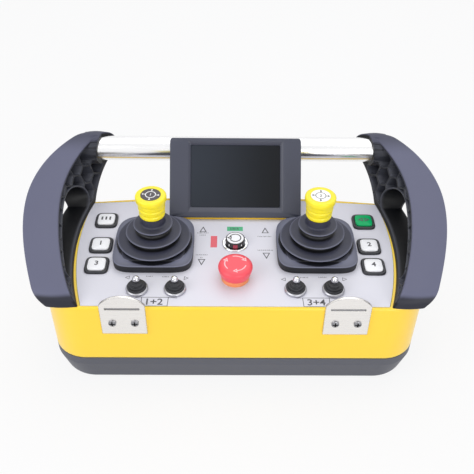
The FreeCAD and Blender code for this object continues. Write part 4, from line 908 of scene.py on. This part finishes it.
def rounded_ring(half, bottom, top, radius, depth):
    """Points round a rectangle with round corners: the corner's centre plus radius (cos t, sin t)."""
    t = np.linspace(0, np.pi / 2, CORNER_STEPS)
    x_side, y_side = np.array([1, -1, -1, 1]), np.array([1, 1, -1, -1])
    turns = t[None] + np.arange(4)[:, None] * np.pi / 2
    x = x_side[:, None] * (half - radius) + radius * np.cos(turns)
    y = np.where(y_side > 0, top - radius, bottom + radius)[:, None] + radius * np.sin(turns)
    return np.stack([x.ravel(), y.ravel(), np.full(x.size, depth)], axis=-1)


rings = np.stack([rounded_ring(*ring) for ring in FRAME_RINGS])
piece("display_frame", [quads(on_display(rings))], "housing", "display_black", "display_bezel")
print("display frame:", rings.shape[0], "rings")

# %% [markdown]
# ## Strap plate screws
# The steel plates for the carrying strap are held by pan-head screws. A head is a dome over a disc, with a
# cross pressed into it: the height drops where a point lies within half the width of either slot, and the same
# measure marks the cross for painted shade, nearly black. Each plate's long slot gets a thin liner of darker
# steel, painted shade, so its walls look like steel in shade.

# %% Strap plate screws
HEAD_RADIUS, HEAD_HEIGHT, HEAD_INSET, SLOT_HALF, SLOT_REACH, SLOT_DEPTH = 3.2, 1.8, 3.6, 0.55, 2.2, 0.8


def pan_head(centre):
    """A screw head that faces the user: h(r) = H (1 - 0.45 (r/R)^2), less the cross, with a round edge."""
    radius = HEAD_RADIUS * np.linspace(0, 1, 40)[:, None]
    turn = np.linspace(0, 2 * np.pi, 96, endpoint=False)[None]
    x, z = radius * np.cos(turn), radius * np.sin(turn)
    height = HEAD_HEIGHT * (1 - 0.45 * (radius / HEAD_RADIUS) ** 2) + 0 * turn
    arms = np.minimum(np.maximum(np.abs(x), np.abs(z)) / SLOT_REACH, 1.5)
    cross = np.clip((SLOT_HALF - np.minimum(np.abs(x), np.abs(z))) / 0.2, 0, 1) * np.clip((1 - arms) / 0.15, 0, 1)
    dome = np.stack([x, -(height - SLOT_DEPTH * cross), z], axis=-1)
    skirt = np.stack([x[-1:], 0 * x[-1:], z[-1:]], axis=-1)
    return quads(np.concatenate([dome, skirt]) + centre)


screw_low, screw_high = span("strap_plate_screws")
head_y = screw_low[1] + HEAD_HEIGHT
screw_z = (screw_low[2] + screw_high[2]) / 2
heads = []
for side, sign in SIDES.items():
    outer = sign * (screw_high[0] - HEAD_INSET)
    inner = 2 * middle(side + "_strap_plate")[0] - outer
    heads += [np.array([x, head_y, screw_z]) for x in (outer, inner)]
screw_heads = piece("strap_screw_heads", [pan_head(head) for head in heads], "housing", "screw_steel",
                    "strap_plate_screws")
# The cross is marked for painted shade, which the steel finish turns nearly black.
recess = 0
for head in heads:
    aside, across = np.abs(places(screw_heads) - head)[:, ::2].T
    inside = np.hypot(aside, across) < SLOT_REACH + 0.2
    recess = recess + inside * smooth_step(np.minimum(aside, across), SLOT_HALF + 0.15, SLOT_HALF - 0.15)
mark(screw_heads, hollow=np.clip(recess, 0, 1))

# The liners are darker steel than the plates: painted shade on the slot's walls.
STRAP_SLOT_HALF, STRAP_SLOT_Z, LINER, PROUD = (14.0, 1.0), 92.2, 0.22, 0.05
slot_corners = np.array([(-1, -1), (1, -1), (1, 1), (-1, 1)])
liners = []
for side in SIDES:
    front, rear = [corner[1] for corner in span(side + "_strap_plate")]
    y = np.array([front - PROUD, rear, rear, front - PROUD])[:, None] + np.zeros(4)
    x, z = slot_corners.T[:, None] * np.subtract.outer(STRAP_SLOT_HALF, (0, 0, LINER, LINER))[..., None]
    ring = np.stack([x + middle(side + "_strap_plate")[0], y, z + STRAP_SLOT_Z], axis=-1)
    liners.append(quads(ring, loop=True))
piece("strap_slot_liners", liners, "housing", "screw_steel")
print("screw heads:", len(heads), "slot liners:", len(liners))

# %% [markdown]
# ## Printed marks
# Symbols tell the user what a control does. A real panel has them screen-printed, a few hundredths of a
# millimetre thick; here they are flat bands and numerals that float just above the surface. A band is a path
# with points to its left and right, so a ring, an arrow and a frame all come from one function.

# %% Printed marks
INK_LIFT = 0.05


def band(path, width, closed=False):
    """A flat line along (x, y) points: path -/+ normal * width / 2, with the corners mitred."""
    path = np.array(path, float)
    ahead = np.roll(path, -1, axis=0) - path
    behind = path - np.roll(path, 1, axis=0)
    if not closed:
        ahead[-1], behind[0] = behind[-1], ahead[0]
    ahead, behind = unit(ahead), unit(behind)
    along = unit(ahead + behind)
    mitre = width / 2 / np.maximum((along * ahead).sum(axis=1, keepdims=True), 0.4)
    left = np.stack([-along[:, 1], along[:, 0]], axis=-1) * mitre
    flat = np.stack([path - left, path + left])
    return quads(np.concatenate([flat, np.zeros(flat.shape[:2] + (1,))], axis=-1), closed)


def arc(radius, start, end, steps=40):
    """Points of a circle's arc between two angles in degrees."""
    return oval((0, 0), radius, radius, start, end, steps)


def dot(x, y, radius):
    """A filled circle: a band as wide as its radius, along a circle of half that radius."""
    points, faces = band(arc(radius / 2, 0, 360, 25)[:-1], radius, True)
    return points + (x, y, 0), faces


def numeral(text, size, weight=0.0):
    """Flat triangles of a character, centred on the origin and size millimetres tall; weight makes it bolder."""
    lettering = bpy.data.curves.new("numeral", "FONT")
    lettering.body = text
    lettering.offset = weight
    holder = bpy.data.objects.new("numeral", lettering)
    mesh = bpy.data.meshes.new_from_object(holder)
    mesh.calc_loop_triangles()
    points = np.array([v.co for v in mesh.vertices])
    faces = np.array([t.vertices for t in mesh.loop_triangles])
    points -= (points.min(axis=0) + points.max(axis=0)) / 2
    points *= size / np.ptp(points[:, 1])
    bpy.data.objects.remove(holder)
    bpy.data.curves.remove(lettering)
    bpy.data.meshes.remove(mesh)
    return points, faces


def moved(shapes, x, y, turn=0.0):
    """Flat shapes turned by degrees and then moved in their plane."""
    c, s = np.cos(np.radians(turn)), np.sin(np.radians(turn))
    spin = np.array([[c, s, 0], [-s, c, 0], [0, 0, 1]])
    return [(points @ spin + (x, y, 0), faces) for points, faces in shapes]


def ink(name, shapes, place, body, slot, finish):
    """Flat shapes printed on a level surface at a place in millimetres."""
    lift = np.array(place) + (0, 0, INK_LIFT)
    piece(name, [(points + lift, faces) for points, faces in shapes], body, slot, None, finish, outward=False)


print("print helpers ready")

# %% [markdown]
# ## Marks on the controls
# Both joystick discs carry a ring with four arms, which says that the stick moves four ways. The buttons have
# plain numerals, the stop button has three arrows for the twist that releases it, and the start key has a
# round arrow and a red index.

# %% Marks on the controls
DISC_RING, DISC_TURN, CAP_TOP, STOP_TOP, TWIST_RING, KEY_TOP = 4.2, -6, 3.7, 16.3, 8.9, 6.8

for side, number, slot, finish, weight in (("left", "1", "disc_white", "ink_white", 0.75),
                                           ("right", "2", "disc_black", "ink_black", 0.5)):
    shapes = [band(arc(DISC_RING, 0, 360)[:-1], weight, True), numeral(number, 3.4)]
    for quarter in range(4):
        arm = [band([(DISC_RING, 0), (6.1, 0)], weight), dot(6.4, 0, 0.85)]
        shapes += moved(arm, 0, 0, quarter * 90)
    disc = side + "_knob_disc"
    place = np.append(middle(disc)[:2], span(disc)[1][2])
    ink(side + "_disc_mark", moved(shapes, 0, 0, DISC_TURN), place, side + "_stick", slot, finish)

bars = [band([(x, -2.2), (x, 2.2)], 1.5) for x in (-3.6, 0, 3.6)]
arrows = [band([(s * 1.2, -2.0), (s * 1.2, 2.0), (s * 4.6, 0)], 0.9, True) for s in (-1, 1)]
numerals = {"left_middle": "1", "left_front": "3", "right_middle": "2", "right_front": "4"}
button_marks = [(label, "_numeral", [numeral(number, 5.4, 0.03)]) for label, number in numerals.items()]
for label, kind, shapes in button_marks + [("left_rear", "_sign", bars), ("right_rear", "_sign", arrows)]:
    ink(label + kind, shapes, on_panel("button_cap_" + label, CAP_TOP), label + "_button", "key_black", "ink_dark")

twists = []
for start in (105, 225, 345):
    twists.append(band(arc(TWIST_RING, start, start - 66), 1.0))
    tip = moved([band([(-1.6, 0), (1.6, 0), (0.0, -2.6)], 0.9, True)], TWIST_RING, 0)
    twists += moved(tip, 0, 0, start - 68)
ink("estop_arrows", twists, stop_centre + (0, 0, STOP_TOP), "estop_mushroom", "disc_white", "ink_pale")

turn_arrow = [band(arc(4.9, 170, -150), 0.95), band([(-6.6, 0.4), (-3.4, 1.4), (-3.9, -1.6)], 0.8, True)]
ink("start_key_arrow", turn_arrow, key_centre + (0, 0, KEY_TOP), "start_key", "key_black", "ink_black")


def skirt_mark(middle_turn, half_turn, low, high):
    """A patch on the grip's wall: p(t, h) = (r cos t, r sin t, h) with r just outside the ribs."""
    turn = np.radians(np.linspace(middle_turn - half_turn, middle_turn + half_turn, 12))[None]
    height = np.linspace(low, high, 4)[:, None]
    reach = np.interp(height, (2, 6), (8.82, 8.72))
    grid = np.stack([reach * np.cos(turn), reach * np.sin(turn), height + 0 * turn], axis=-1)
    return quads(grid + key_centre, False)


ticks = [skirt_mark(-90 + s * 38, 2.5, 3.0, 5.2) for s in (-1, 1)]
piece("start_key_index", [skirt_mark(-90, 13, 2.0, 5.7)], "start_key", "estop_red", None, "ink_red_deep", False)
piece("start_key_ticks", ticks, "start_key", "disc_white", None, "ink_white", False)
print("control marks ready")

# %% [markdown]
# ## Marks on the panel
# Triangles show the way a stick moves its load, small arrows sit beside the toggles, and a framed pair of
# numerals joins two toggles. A row of short strokes stands for each caption. A green field and a red field mark
# the positions of the start key.

# %% Marks on the panel
STROKE_STEP = 1.15
CAPTIONS = [(-33.9, 2.2, 11), (-31.6, -0.8, 6), (-33.9, -27.3, 11), (-30.0, -31.0, 2.5), (20.6, -2.3, 13),
            (20.2, -20.9, 14), (-74.5, -54.7, 6), (-61.0, -55.1, 6), (55.1, -55.2, 7), (70.6, -54.9, 7)]


def caption(x, y, length, height=1.3):
    """A row of short upright strokes that reads as a line of small lettering."""
    starts = [x + i * STROKE_STEP for i in range(int(length / STROKE_STEP))]
    return [band([(start, y - height / 2), (start + 0.25 * (i % 3 - 1), y + height / 2)], 0.42)
            for i, start in enumerate(starts)]


panel_marks = []
for x, y, up in ((-29.1, 6.6, 1), (-29.1, -36.0, -1), (27.2, 5.6, 1), (27.2, -27.4, -1)):
    foot_y = y - 2.7 * up
    panel_marks.append(band([(x - 2.7 * up, foot_y), (x + 2.7 * up, foot_y), (x, y + 3.9 * up)], 0.8, True))
for x, y, way in ((-90.4, -56.2, -1), (-41.4, -56.6, 1), (40.6, -57.6, -1), (91.7, -57.2, 1)):
    panel_marks.append(band([(x - 1.4 * way, y - 1.8), (x - 1.4 * way, y + 1.8), (x + 1.9 * way, y)], 0.4, True))
for x, y, length in CAPTIONS:
    panel_marks += caption(x, y, length)
for x, pair in ((-65.4, "1+2"), (65.8, "3+4")):
    frame_path = [(x - 10.9, -79.3), (x + 10.9, -79.3), (x + 10.5, -89.0), (x - 10.5, -89.0)]
    panel_marks.append(band(frame_path[::-1], 0.5, True))
    panel_marks += moved([numeral(pair, 7.0, 0.015)], x, -84.2)
    panel_marks.append(band([(x - 16.0, -79.6), frame_path[0]], 0.4))
    panel_marks.append(band([frame_path[1], (x + 18.0, -80.0)], 0.4))
start_field, stop_field = [(-7.4, 8.3), (7.0, 8.3)], [(-19.0, -17.4), (-19.0, -1.9)]
for name, shapes, lift, slot, finish in (
        ("panel_marks", panel_marks, 0, "key_black", "ink_dark"),
        ("start_field", [band(start_field, 6.0)], 0, "cap_green", "ink_green"),
        ("start_caption", caption(-4.0, 8.3, 8.5, 3.0), INK_LIFT, "key_black", "ink_dark"),
        ("stop_field", [band(stop_field, 5.8)], 0, "estop_red", "ink_red")):
    ink(name, shapes, (0, 0, PANEL_TOP + lift), "housing", slot, finish)
print("panel marks:", len(panel_marks))

# %% [markdown]
# ## Floor and light
# The remote is shown on a white table top in soft light. A white floor alone would render a little grey, so
# rays that reach it straight from the camera, or by way of a mirror-like surface, see a mix of the lit floor
# and plain white; the contact shadow stays. Three large lamps shape the object without hard edges.

# %% Floor and light
FLOOR_HALF, FLOOR_WHITE, SKY_LIGHT = 2.0, 0.86, 0.6
LAMPS = {"key_light": ((-900, -700, 700), 0.9, 6), "front_light": ((500, -1100, 350), 0.8, 5),
         "top_light": ((150, 350, 1100), 1.2, 5.5)}
LAMP_TARGET = np.array([0, 0, 60.0])

finish = Finish(Base_Color=srgb(222, 222, 226), Roughness=0.8)
finish.material.name = "floor_white"
lit = Socket(finish, finish.surface.outputs[0])
glow = finish.node("Emission", {"Color": (1, 1, 1, 1), "Strength": 1.0})
mixed = finish.node("MixShader", {0: finish.seen_directly() * FLOOR_WHITE, 1: lit, 2: glow})
finish.feed(finish.tree.nodes["Material Output"].inputs["Surface"], mixed)
floor_mesh = bpy.data.meshes.new("floor")
floor_mesh.from_pydata([(x * FLOOR_HALF, y * FLOOR_HALF, 0) for x, y in ((-1, -1), (1, -1), (1, 1), (-1, 1))], [],
                       [(0, 1, 2, 3)])
floor_mesh.materials.append(finish.material)
shown("floor", floor_mesh)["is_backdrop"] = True

world = bpy.data.worlds.new("studio")
bpy.context.scene.world = world
world.use_nodes = True
sky = Graph(world.node_tree)
background = sky.tree.nodes["Background"].inputs
sky.feed(background["Color"], (1, 1, 1, 1))
sky.feed(background["Strength"], SKY_LIGHT + sky.seen_directly() * (1 - SKY_LIGHT))

for name, (place, size, power) in LAMPS.items():
    lamp = bpy.data.lights.new(name, "AREA")
    lamp.size, lamp.energy = size, power
    ahead = unit(LAMP_TARGET - place)
    aim(shown(name, lamp), place, ahead, unit(np.cross(ahead, (0, 0, 1))))
bpy.context.scene.view_settings.view_transform = "Standard"
print("floor and lamps placed")

# %% Sizes
low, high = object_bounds()
